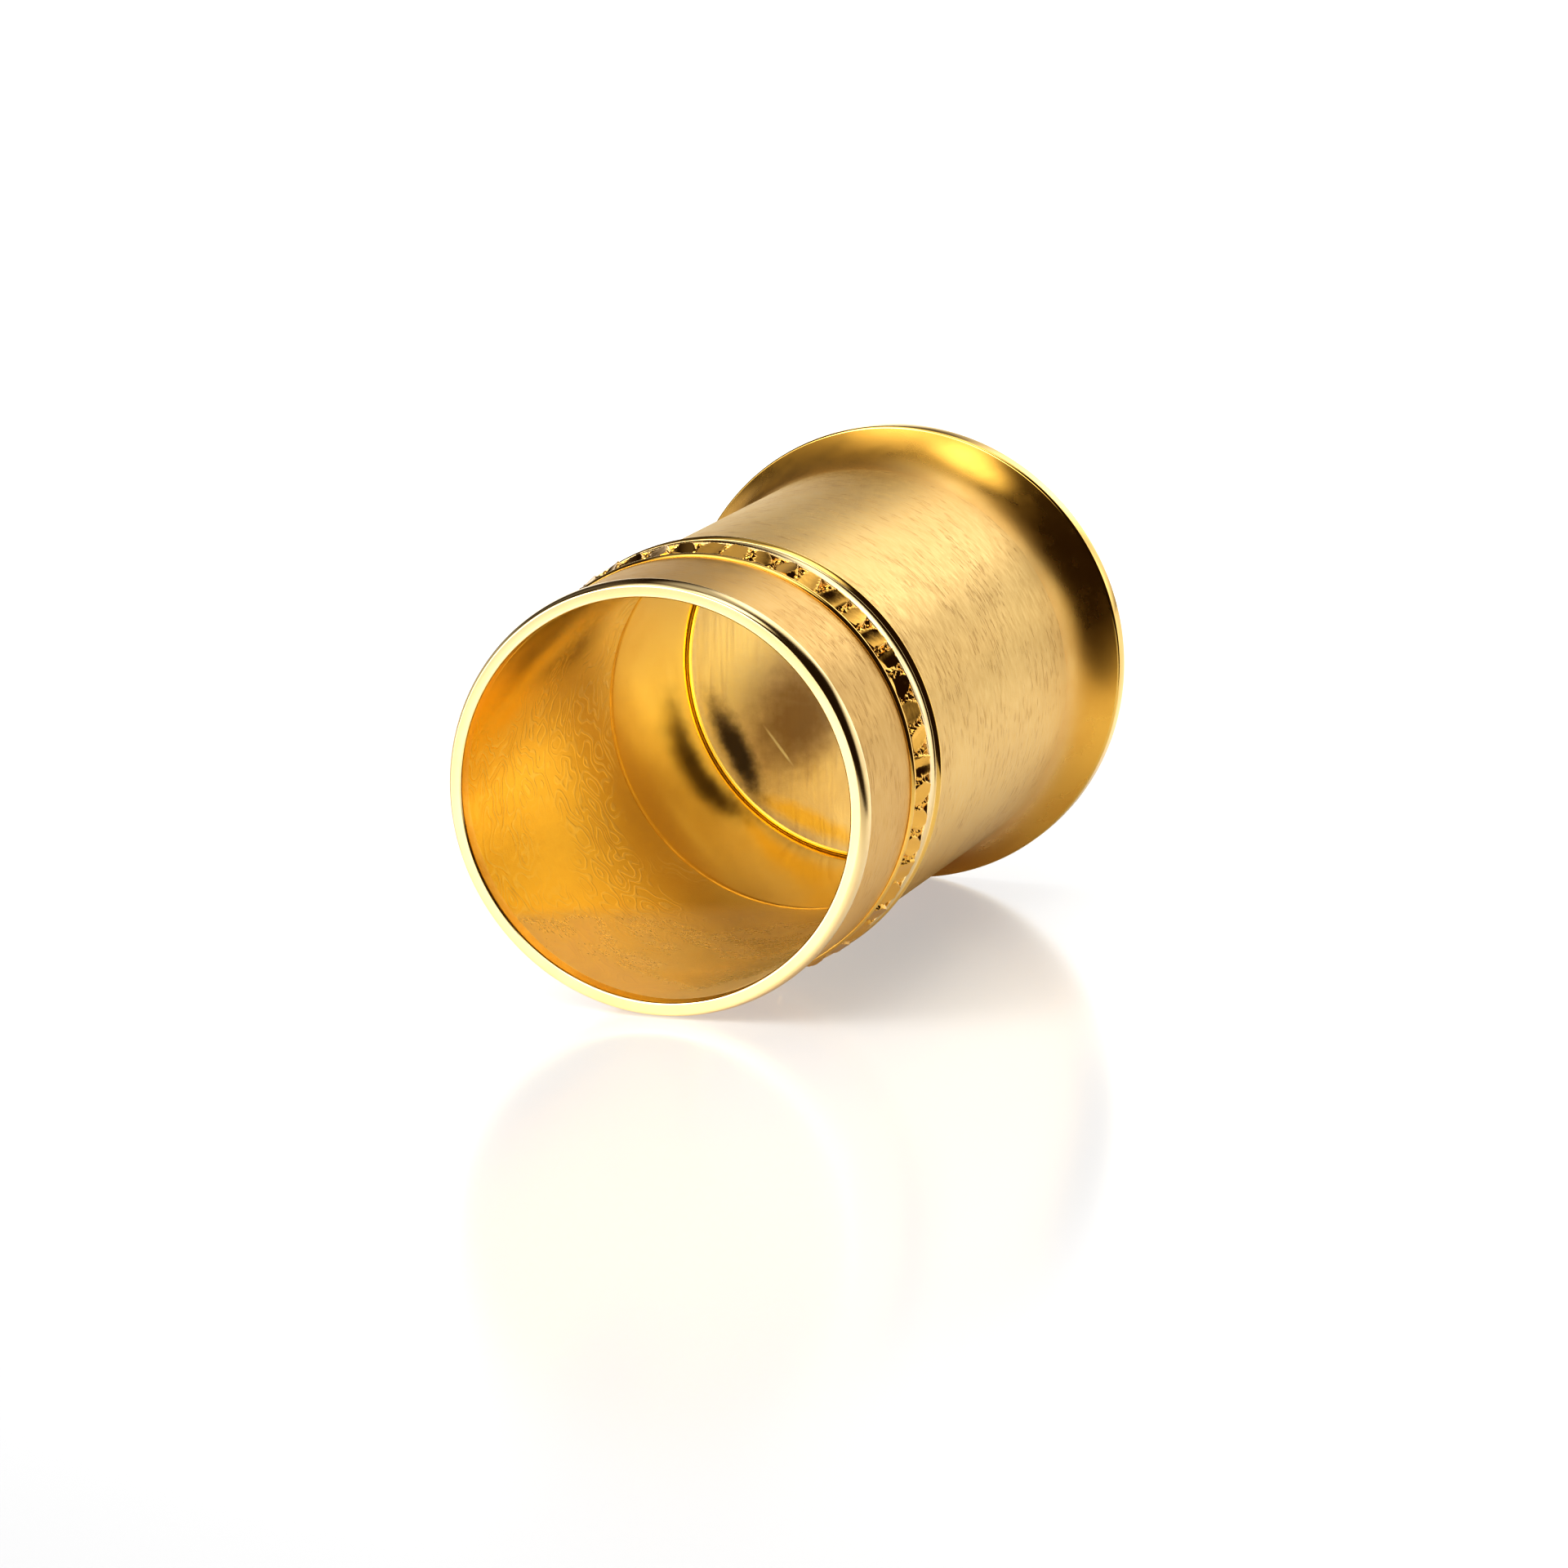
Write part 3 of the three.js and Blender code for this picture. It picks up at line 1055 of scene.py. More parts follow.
class FinishLibrary:
    """The materials of the beaker, made once each."""

    FINISHES = (
        SatinGold(
            Finish.SATIN, colour=SATIN_COLOUR, marks_and_shade=(0.76, 0.48, 0.16, 1),
            smooth=0.32, dull=0.44, grain=12 * MICRON, stretch=0.4,
        ),
        PolishedGold(
            Finish.POLISHED, colour=(0.97, 0.66, 0.20, 1), marks_and_shade=(0.90, 0.56, 0.15, 1),
            smooth=0.08, dull=0.20, grain=1.2 * MICRON,
        ),
        PolishedGold(
            Finish.BRIGHT, colour=(0.98, 0.78, 0.43, 1), marks_and_shade=(0.94, 0.66, 0.28, 1),
            smooth=0.10, dull=0.24, grain=1.2 * MICRON,
        ),
        PolishedGold(
            Finish.SEAM, colour=(0.76, 0.47, 0.11, 1), marks_and_shade=(0.58, 0.33, 0.07, 1),
            smooth=0.30, dull=0.50, grain=1.2 * MICRON,
        ),
        # The chased strip's second colour is the painted shade of its pits
        ChasedGold(
            Finish.CHASED, colour=(0.93, 0.56, 0.13, 1), marks_and_shade=(0.10, 0.04, 0.008, 1),
            smooth=0.06, dull=0.40, grain=10 * MICRON,
        ),
        PolishedGold(
            Finish.LINING, colour=(0.98, 0.73, 0.17, 1), marks_and_shade=(0.94, 0.66, 0.14, 1),
            smooth=0.15, dull=0.22, grain=0.8 * MICRON,
        ),
        RubbedGold(
            Finish.RUBBED, colour=(0.98, 0.76, 0.20, 1), marks_and_shade=(0.94, 0.67, 0.15, 1),
            smooth=0.16, dull=0.25, grain=3 * MICRON,
        ),
        DiscGold(
            Finish.FLOOR, colour=(0.95, 0.82, 0.65, 1), marks_and_shade=(0.86, 0.70, 0.50, 1),
            smooth=0.34, dull=0.52, grain=8 * MICRON,
        ),
        BurnishedGold(
            Finish.BURNISHED, colour=(0.96, 0.58, 0.13, 1), marks_and_shade=(0.88, 0.48, 0.09, 1),
            smooth=0.24, dull=0.34, grain=12 * MICRON, stretch=0.4,
        ),
    )

    def __init__(self) -> None:
        """Makes every material."""
        effects = EffectLibrary()
        self.materials = {made.finish: made.material(effects) for made in self.FINISHES}

    def put_on(self, piece: bpy.types.Object, finishes: tuple[Finish, ...]) -> None:
        """Gives a piece its finishes, in the order of its faces' material numbers."""
        for finish in finishes:
            piece.data.materials.append(self.materials[finish])


@dataclass
class TurnedPiece:
    """A piece of the beaker that is turned round its axis.

    Attributes:
        node: The solid that it stands for.
        slot: The solid's material slot; not used.
        finishes: Its finishes, in the order of its outline's numbers.
        wobble: Its unroundness, if any.
        piece: The mesh, once it is built.
    """

    node: str
    slot: Slot = Slot.POLISHED
    finishes: tuple[Finish, ...] = (Finish.POLISHED,)
    wobble: HandWobble | None = None
    piece: bpy.types.Object | None = None

    @property
    def span(self) -> Span:
        """The room that the solid takes."""
        return Span.of(self.node)

    def outline(self) -> Outline:
        """The outline to turn."""
        raise NotImplementedError

    def shape(self, name: str) -> bpy.types.Object:
        """Makes the mesh under a name."""
        return turn_outline(name, self.outline(), self.wobble)

    def store_drop(self, piece: bpy.types.Object, name: str, node: str, reach: float) -> None:
        """Stores how far each vertex lies below another solid.

        Args:
            piece: The mesh.
            name: The name that the finishes read.
            node: The other solid.
            reach: The drop below its lower end that counts as 1.
        """
        heights = np.array(self.outline().points)[:, 1]
        share = np.clip((Span.of(node).low - heights) / reach, 0, 1)
        write_values(piece, name, np.tile(share, SEGMENTS))

    def build(self) -> None:
        """Makes the mesh in place of the solid."""
        self.piece = self.shape(self.node + "_dressed")
        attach(self.piece, BODY)
        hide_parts(self.node)

    def dress(self, library: FinishLibrary) -> None:
        """Puts the finishes on the mesh."""
        library.put_on(self.piece, self.finishes)


@dataclass
class LipRing(TurnedPiece):
    """The thick ring round the mouth.

    Attributes:
        wall: Its thickness.
        side_rounding: The half axes of its rolled-over side, across and along the axis.
        side_start: The angle on that ellipse at which the side starts, in degrees.
        inner_rounding: The radius of its inner upper edge.
        under_rounding: The radius of its outer lower edge.
    """

    node: str = "lip_ring"
    finishes: tuple[Finish, ...] = (Finish.BRIGHT,)
    wobble: HandWobble | None = HandWobble(0.03 * MM, seed=11)
    wall: float = 2.6 * MM
    side_rounding: Point = (1.0 * MM, 3.6 * MM)
    side_start: float = 15.0
    inner_rounding: float = 0.5 * MM
    under_rounding: float = 0.2 * MM

    def outline(self) -> Outline:
        """Flat on top, with a side that rolls over to the collar.

        Returns:
            The outline to turn.
        """
        span = self.span
        bore = span.radius - self.wall
        under, side, inner = self.under_rounding, self.side_rounding, self.inner_rounding
        side_middle = span.radius - side[0] * math.cos(math.radians(self.side_start))
        line = Outline()
        line.to(bore, span.low)
        line.arc((span.radius - under, span.low + under), (under, under), -90, 0)
        line.arc((side_middle, span.high - side[1]), side, self.side_start, 90, steps=24)
        line.arc((bore + inner, span.high - inner), (inner, inner), 90, 180, steps=10)
        return line


@dataclass
class BodyTube(TurnedPiece):
    """The satin tube, bored wider below for the floor pan.

    Attributes:
        wall_at_mouth: Its thickness at the mouth.
        taper: How much smaller its outer radius is at the foot.
        pan_clearance: The gap between the bore's wider part and the pan.
        upper_tone_reach: The distance below the band over which its darker tint fades out.
        steps: The number of parts that a long stretch is cut into.
    """

    node: str = "body_tube"
    slot: Slot = Slot.SATIN
    finishes: tuple[Finish, ...] = (Finish.SATIN, Finish.RUBBED)
    wobble: HandWobble | None = HandWobble(0.03 * MM, seed=23, waves=(2, 9))
    wall_at_mouth: float = 2.2 * MM
    taper: float = 0.5 * MM
    pan_clearance: float = 0.05 * MM
    upper_tone_reach: float = 3.0 * MM
    steps: int = 60

    def outline(self) -> Outline:
        """Starts at the shoulder over the pan, which no one sees.

        Returns:
            The outline to turn.
        """
        span, pan = self.span, Span.of("floor_pan")
        bore = span.radius - self.wall_at_mouth
        seat = pan.radius + self.pan_clearance
        line = Outline()
        line.to(seat, pan.high).to(seat, span.low)
        line.to(span.radius - self.taper, span.low)
        line.to(span.radius, span.high, self.steps)
        line.use(self.finishes.index(Finish.RUBBED)).to(bore, span.high)
        line.to(bore, pan.high, self.steps)
        return line

    def shape(self, name: str) -> bpy.types.Object:
        """Makes the mesh under a name, and stores how far each place lies below the band, for the darker
        tint above.

        Args:
            name: The mesh's name.

        Returns:
            The mesh object.
        """
        piece = super().shape(name)
        self.store_drop(piece, "drop_below_band", "band_rear_bead", self.upper_tone_reach)
        return piece


@dataclass
class FloorPan(TurnedPiece):
    """The smoother pan let in from below, whose floor is the bottom of the cup.

    Attributes:
        wall: The thickness of its wall.
        base: The thickness of its floor.
        fillet: The radius of the corner between them.
        rim_rounding: The radius of its rim.
        steps: The number of parts that a long stretch is cut into.
    """

    node: str = "floor_pan"
    slot: Slot = Slot.LINING
    finishes: tuple[Finish, ...] = (Finish.LINING, Finish.FLOOR, Finish.SEAM)
    wobble: HandWobble | None = HandWobble(0.02 * MM, seed=31, waves=(2, 7))
    wall: float = 0.65 * MM
    base: float = 0.8 * MM
    fillet: float = 0.8 * MM
    rim_rounding: float = 0.05 * MM
    steps: int = 30

    def outline(self) -> Outline:
        """From the underside's middle, up the outside, and down inside to the floor's middle.

        Returns:
            The outline to turn.
        """
        span = self.span
        inner = span.radius - self.wall
        floor = span.low + self.base
        line = Outline(closed=False)
        line.to(0, span.low).to(span.radius, span.low).to(span.radius, span.high)
        small, fillet = self.rim_rounding, self.fillet
        line.use(self.finishes.index(Finish.SEAM))
        line.arc((inner + small, span.high - small), (small, small), 90, 180, steps=4)
        line.use(self.finishes.index(Finish.LINING)).to(inner, floor + fillet, self.steps)
        line.arc((inner - fillet, floor + fillet), (fillet, fillet), 0, -90, steps=12)
        line.use(self.finishes.index(Finish.FLOOR)).to(0, floor, self.steps)
        return line


@dataclass
class CrownedRing(TurnedPiece):
    """A ring of the band with a crowned outside: the wire or the bead.

    Attributes:
        crown: How far its crest stands above its two edges.
        depth: Its thickness at the crest.
        ridge: How the crown rises: 2 gives an even curve, and less gives a ridge.
        steps: The number of chords across the crown.
    """

    crown: float = 0.35 * MM
    depth: float = 0.5 * MM
    ridge: float = 2.0
    steps: int = 28

    def outline(self) -> Outline:
        """Starts inside, against the tube.

        Returns:
            The outline to turn.
        """
        span = self.span
        inside = span.radius - self.depth
        line = Outline()
        line.to(inside, span.high).to(inside, span.low)
        for step in range(self.steps + 1):
            share = 2 * step / self.steps - 1
            drop = self.crown * abs(share) ** self.ridge
            line.to(span.radius - drop, span.middle + share * span.width / 2)
        return line


@dataclass
class CoveRing(TurnedPiece):
    """The plain land of the band, with a shallow hollow round it.

    Attributes:
        rise: Its thickness.
        depth: How deep the hollow is.
        edge_rounding: The radius of its two outer edges.
    """

    node: str = "band_cove_ring"
    finishes: tuple[Finish, ...] = (Finish.BRIGHT,)
    rise: float = 1.1 * MM
    depth: float = 0.3 * MM
    edge_rounding: float = 0.12 * MM

    def outline(self) -> Outline:
        """Starts inside, against the tube.

        Returns:
            The outline to turn.
        """
        span = self.span
        inside = span.radius - self.rise
        small = self.edge_rounding
        line = Outline()
        line.to(inside, span.high).to(inside, span.low)
        line.arc((span.radius - small, span.low + small), (small, small), -90, 60, steps=5)
        line.arc((span.radius, span.middle), (self.depth, span.width / 2 - 2 * small), 270, 90, steps=20)
        line.arc((span.radius - small, span.high - small), (small, small), -60, 90, steps=5)
        return line


@dataclass(frozen=True)
class StripGrid:
    """One period of the chased strip, as a grid of places.

    Attributes:
        along: Place along the period, from -0.5 to 0.5, as a column.
        across: Place across the strip, from -0.5 at the foot side to 0.5, as a row.
        cell: The length of one period.
        width: The strip's width.
    """

    along: np.ndarray
    across: np.ndarray
    cell: float
    width: float


@dataclass
class ChasedRing(TurnedPiece):
    """The strip of cut bosses: plain plates that slope to the mouth, with clusters of small facets between.

    Attributes:
        bosses: The number of plates round the ring.
        rise: How far the highest edge stands out from the tube.
        plate_low: How far a plate's mouth end lies below its highest edge.
        plate_half: Half of a plate's length, as a share of one period.
        hollow: How far a plate is scooped out along its middle.
        plate_waist: How much shorter a plate is at its two ends across the strip, as a share of one period.
        bevel: The slope of a plate's sides, in degrees.
        side_drop: How far a plate's sides start below its highest edge, as a share of the rise.
        back_bevel: The slope of a plate's foot end, in degrees.
        back_drop: How far its foot end starts below its highest edge, as a share of the rise.
        facets: The number of small facet cuts in a cluster.
        facet_drop: How far the lowest facet's point lies below the highest edge.
        facet_tops: The least and the most of that drop that a facet's point has.
        facet_fall: How much of a plate's slope to the mouth the facets follow.
        facet_slope: The least and the most slope of a facet, in degrees.
        facet_shift: How far a facet strays along a period and across the strip, as shares of them.
        pit_radius: The radius of a punched pit.
        pit_depth: Its depth.
        pit_wall: How steep its wall is, as a multiple of a plain cone.
        pit_place: How far a pit lies from the strip's middle, as a share of its width.
        bed: How far the ground between the cuts lies below the highest edge.
        unevenness: How much hand cutting varies the plates, as a share.
        vary: How much of that goes to a plate's tilt, skew, size, shift, lean and waist.
        columns: Mesh columns for each period.
        rows: Mesh rows across the strip.
        seed: The number that the variation is drawn from.
    """

    node: str = "band_chased_ring"
    slot: Slot = Slot.CHASED
    finishes: tuple[Finish, ...] = (Finish.CHASED,)
    bosses: int = 50
    rise: float = 1.5 * MM
    plate_low: float = 1.3 * MM
    plate_half: float = 0.33
    hollow: float = 0.12 * MM
    plate_waist: float = 0.13
    bevel: float = 55.0
    side_drop: float = 0.1
    back_bevel: float = 50.0
    back_drop: float = 0.25
    facets: int = 6
    facet_drop: float = 0.45 * MM
    facet_tops: Range = (0.15, 1.0)
    facet_fall: float = 0.55
    facet_slope: Range = (26.0, 48.0)
    facet_shift: Point = (0.1, 0.05)
    pit_radius: float = 0.36 * MM
    pit_depth: float = 0.4 * MM
    pit_wall: float = 1.6
    pit_place: float = 0.3
    bed: float = 1.3 * MM
    unevenness: float = 0.28
    vary: tuple[float, ...] = (1.2, 0.9, 0.5, 0.25, 1.0, 3.0)
    columns: int = 20
    rows: int = 30
    seed: int = 5

    def _plate(self, grid: StripGrid, draw: np.random.Generator) -> np.ndarray:
        """Height of one plate below the highest edge.

        Args:
            grid: The places of its period.
            draw: The source of the hand-cut variation.

        Returns:
            The heights, which fall away outside the plate.
        """
        along, across = grid.along, grid.across
        strays = draw.uniform(-1, 1, len(self.vary)) * self.unevenness * np.array(self.vary)
        tilt, skew, size, shift, lean, waist = strays
        half = self.plate_half * (1 + size) - self.plate_waist * (1 + waist) * (2 * across) ** 2
        middle = shift + lean * across
        scoop = self.hollow * (1 - np.minimum(((along - middle) / self.plate_half) ** 2, 1))
        face = -self.plate_low * (1 + tilt) * (across + 0.5) + skew * along * grid.cell - scoop
        sides = (half - np.abs(along - middle)) * grid.cell * math.tan(math.radians(self.bevel))
        back = (across + 0.5) * grid.width * math.tan(math.radians(self.back_bevel))
        edges = np.minimum(sides - self.side_drop * self.rise, back - self.back_drop * self.rise)
        return np.minimum(face, edges)

    def _cluster(self, grid: StripGrid, draw: np.random.Generator) -> np.ndarray:
        """Height of the small facets between two plates, below the highest edge.

        Args:
            grid: The places of a period, counted along it from the middle of the cluster.
            draw: The source of the hand-cut variation.

        Returns:
            The heights, which fall away outside the cluster.
        """
        stray_along, stray_across = self.facet_shift
        heights = np.full(np.broadcast(grid.along, grid.across).shape, -self.rise)
        for number in range(self.facets):
            middle = (number + 0.5) / self.facets - 0.5 + draw.uniform(-stray_across, stray_across)
            x = (grid.along - draw.uniform(-stray_along, stray_along)) * grid.cell
            y = (grid.across - middle) * grid.width
            turn = draw.uniform(0, math.pi / 2)
            slope = math.tan(math.radians(draw.uniform(*self.facet_slope)))
            fall = self.facet_fall * self.plate_low * (grid.across + 0.5)
            top = -draw.uniform(*self.facet_tops) * self.facet_drop - fall
            first = x * math.cos(turn) + y * math.sin(turn)
            second = y * math.cos(turn) - x * math.sin(turn)
            heights = np.maximum(heights, top - slope * np.maximum(np.abs(first), np.abs(second)))
        return heights

    def _heights(self, grid: StripGrid) -> tuple[np.ndarray, np.ndarray]:
        """Height of the cut surface below the highest edge, and the pits, for one period after another.

        Args:
            grid: The places of one period.

        Returns:
            The heights round the whole ring, and how deep in a pit each place is from 0 to 1.
        """
        plate_draw = np.random.default_rng(self.seed)
        periods = []
        for number in range(self.bosses):
            cut = np.maximum(self._plate(grid, plate_draw), -self.bed)
            # A cluster lies across each end of the period, and the next period draws its other half
            for end in (0, 1):
                draw = np.random.default_rng([self.seed, (number + end) % self.bosses])
                from_end = replace(grid, along=grid.along + 0.5 - end)
                cut = np.maximum(cut, self._cluster(from_end, draw))
            periods.append(cut)
        pit = np.zeros(periods[0].shape)
        from_side = (np.abs(grid.along) - 0.5) * grid.cell
        for side in (-1, 1):
            reach = np.hypot(from_side, (grid.across - side * self.pit_place) * grid.width)
            pit = np.maximum(pit, np.clip(self.pit_wall * (1 - reach / self.pit_radius), 0, 1))
        pits = np.concatenate([pit] * self.bosses)
        return np.maximum(np.concatenate(periods) - pits * self.pit_depth, -self.rise), pits

    def shape(self, name: str) -> bpy.types.Object:
        """Makes the mesh under a name: the cut outside, and plain faces elsewhere.

        Args:
            name: The mesh's name.

        Returns:
            The mesh object.
        """
        span = self.span
        columns = self.bosses * self.columns
        along = np.arange(self.columns)[:, None] / self.columns - 0.5
        across = np.linspace(-0.5, 0.5, self.rows + 1)[None, :]
        cell = 2 * math.pi * span.radius / self.bosses
        heights, pit = self._heights(StripGrid(along, across, cell, span.width))
        inside = np.full((columns, 1), span.radius - self.rise)
        radii = np.concatenate([inside, span.radius + heights, inside], axis=1)
        levels = span.middle + across * span.width
        levels = np.concatenate([[[span.low]], levels, [[span.high]]], axis=1).repeat(columns, axis=0)
        angles = np.arange(columns)[:, None] * 2 * math.pi / columns
        points = np.stack([radii * np.cos(angles), radii * np.sin(angles), levels], axis=2).reshape(-1, 3)
        ring = radii.shape[1]
        faces = []
        for column in range(columns):
            here, there = column * ring, (column + 1) % columns * ring
            for row in range(ring):
                after = (row + 1) % ring
                faces.append((here + row, there + row, there + after, here + after))
        piece = mesh_piece(name, points, faces, [0] * len(faces))
        write_values(piece, "pit", np.pad(pit, ((0, 0), (1, 1))))
        return piece


@dataclass
class Band:
    """The ornamental band: the wire, the cut bosses, the plain land and the bead."""

    rings: tuple[TurnedPiece, ...] = (
        CrownedRing("band_front_wire", wobble=HandWobble(0.02 * MM, seed=41)),
        ChasedRing(),
        CoveRing(wobble=HandWobble(0.02 * MM, seed=43)),
        CrownedRing(
            "band_rear_bead", wobble=HandWobble(0.02 * MM, seed=47),
            crown=0.8 * MM, depth=1.25 * MM, ridge=1.5,
        ),
    )

    def pieces(self) -> tuple[TurnedPiece, ...]:
        """The band's rings, from the mouth side to the foot side."""
        return self.rings


@dataclass
class FootFlare(TurnedPiece):
    """The trumpet between the tube and the foot ring, with the spigot that carries the pan.

    Attributes:
        edge_width: Its thickness at the foot ring.
        spigot_wall: The thickness of the spigot.
        satin_reach: The distance below the neck over which satin turns to polish.
        steps: The number of chords along the trumpet.
    """

    node: str = "foot_flare"
    finishes: tuple[Finish, ...] = (Finish.BURNISHED,)
    wobble: HandWobble | None = HandWobble(0.03 * MM, seed=23, waves=(2, 9))
    edge_width: float = 2.0 * MM
    spigot_wall: float = 0.9 * MM
    satin_reach: float = 9.0 * MM
    steps: int = 40

    def _trumpet(self, neck: float, edge: float, top: float, bottom: float, upwards: bool) -> list[Point]:
        """Points of an arc that leaves the neck along the axis and spreads to the edge.

        Args:
            neck: The radius of the neck.
            edge: The radius of the edge.
            top: The height of the neck.
            bottom: The height of the edge.
            upwards: Whether the points run from the edge to the neck.

        Returns:
            The points, as radius and height.
        """
        drop = top - bottom
        sweep = 2 * math.atan2(edge - neck, drop)
        radius = drop / math.sin(sweep)
        turns = [sweep * step / self.steps for step in range(self.steps + 1)]
        points = [(neck + radius * (1 - math.cos(turn)), top - radius * math.sin(turn)) for turn in turns]
        return points[::-1] if upwards else points

    def outline(self) -> Outline:
        """Starts on the spigot, which no one sees.

        Returns:
            The outline to turn.
        """
        span, tube, pan = self.span, Span.of("body_tube"), Span.of("floor_pan")
        outer_neck = tube.radius - BodyTube().taper
        inner_neck = pan.radius - self.spigot_wall
        line = Outline()
        line.to(pan.radius, tube.low).to(pan.radius, span.high).to(inner_neck, span.high)
        for point in self._trumpet(inner_neck, span.radius - self.edge_width, tube.low, span.low, False):
            line.to(*point)
        for point in self._trumpet(outer_neck, span.radius, tube.low, span.low, True):
            line.to(*point)
        return line

    def shape(self, name: str) -> bpy.types.Object:
        """Makes the mesh under a name, and stores how far its satin neck has turned into polish.

        Args:
            name: The mesh's name.

        Returns:
            The mesh object.
        """
        piece = super().shape(name)
        self.store_drop(piece, "polish", "body_tube", self.satin_reach)
        return piece


@dataclass
class FootRing(TurnedPiece):
    """The thick edge that the beaker stands on.

    Attributes:
        width: Its width across the axis.
        rounding: The radius of its two outer edges.
    """

    node: str = "foot_ring"
    wobble: HandWobble | None = HandWobble(0.04 * MM, seed=59)
    width: float = 3.2 * MM
    rounding: float = 0.6 * MM

    def outline(self) -> Outline:
        """Flat below, with its two outer edges rounded.

        Returns:
            The outline to turn.
        """
        span, small = self.span, self.rounding
        inside = span.radius - self.width
        line = Outline()
        line.to(inside, span.high).to(inside, span.low)
        line.arc((span.radius - small, span.low + small), (small, small), -90, 0, steps=10)
        line.arc((span.radius - small, span.high - small), (small, small), 0, 90, steps=10)
        return line


@dataclass
class Foot:
    """The flare and the ring under it."""

    flare: FootFlare = field(default_factory=FootFlare)
    ring: FootRing = field(default_factory=FootRing)

    def pieces(self) -> tuple[TurnedPiece, ...]:
        """The foot's pieces, from the top down."""
        return self.flare, self.ring


@dataclass
class Cup:
    """The lip, the tube and the floor pan."""

    lip: LipRing = field(default_factory=LipRing)
    tube: BodyTube = field(default_factory=BodyTube)
    pan: FloorPan = field(default_factory=FloorPan)

    def pieces(self) -> tuple[TurnedPiece, ...]:
        """The cup's pieces, from the mouth down."""
        return self.lip, self.tube, self.pan


@dataclass
class Studio:
    """The directions of the studio that the beaker lies in.

    Attributes:
        elevation: How far the camera looks down on the floor, in degrees.
        swing: How far the beaker's foot end is turned to the right of the line of sight, in degrees.
        rounding: The height at which the foot ring touches the floor.
    """

    elevation: float = 10.86
    swing: float = 19.72
    rounding: float = 0.6 * MM

    def __post_init__(self) -> None:
        """Works out the directions from where the beaker touches the floor."""
        foot, band = Span.of("foot_ring"), Span.of("band_chased_ring")
        self.lean = math.atan2(foot.radius - band.radius, band.middle - self.rounding)
        self.contact = Vector((0, foot.radius, self.rounding))
        self.up = Vector((0, -math.cos(self.lean), -math.sin(self.lean)))
        self.to_mouth = Vector((0, -math.sin(self.lean), math.cos(self.lean)))
        turn = Matrix.Rotation(math.radians(self.swing), 3, self.up)
        self.back = turn @ -self.to_mouth
        self.right = self.back.cross(self.up)

    def direction(self, azimuth: float, height: float) -> Vector:
        """A direction in the studio.

        Args:
            azimuth: Degrees to the right of straight back, seen from the camera.
            height: Degrees above the floor.

        Returns:
            The unit vector.
        """
        turn, rise = math.radians(azimuth), math.radians(height)
        level = self.back * math.cos(turn) + self.right * math.sin(turn)
        return level * math.cos(rise) + self.up * math.sin(rise)


@dataclass
class PhotoCamera:
    """The camera that the photograph was taken with.

    Attributes:
        studio: The studio's directions.
        lens: Its focal length.
        sensor: The width of its picture.
        frame_side: The picture's side in pixels.
        mouth_pixel: Where the middle of the mouth shows in the picture.
        mouth_depth: The distance of the mouth's middle along the line of sight.
    """

    studio: Studio
    lens: float = 180.5 * MM
    sensor: float = 36 * MM
    frame_side: int = 1920
    mouth_pixel: Point = (800.4, 981.5)
    mouth_depth: float = 1.2276

    def build(self) -> None:
        """Makes the camera and gives it to the scene."""
        studio = self.studio
        forward = -studio.direction(180, studio.elevation)
        upward = studio.right.cross(forward)
        mouth = Vector((0, 0, Span.of("lip_ring").high))
        scale = self.mouth_depth * self.sensor / self.lens / self.frame_side
        right_shift = (self.mouth_pixel[0] - self.frame_side / 2) * scale
        down_shift = (self.mouth_pixel[1] - self.frame_side / 2) * scale
        place = mouth - forward * self.mouth_depth - studio.right * right_shift + upward * down_shift
        data = bpy.data.cameras.new("photo_camera")
        data.lens = self.lens / MM
        data.sensor_width = self.sensor / MM
        camera = add_to_scene("photo_camera", data)
        axes = Matrix((studio.right, upward, -forward)).transposed()
        camera.matrix_world = Matrix.Translation(place) @ axes.to_4x4()
        bpy.context.scene.camera = camera


@dataclass(frozen=True)
class Softbox:
    """A soft round light, far away.

    Attributes:
        name: What it does, which labels its node.
        azimuth: Degrees to the right of straight back.
        height: Degrees above the floor.
        light: How bright its middle is.
        inner: The angle from its middle within which it is fully bright, in degrees.
        outer: The angle from its middle at which it has faded out, in degrees.
    """

    name: str
    azimuth: float
    height: float
    light: float
    inner: float = 4.0
    outer: float = 20.0


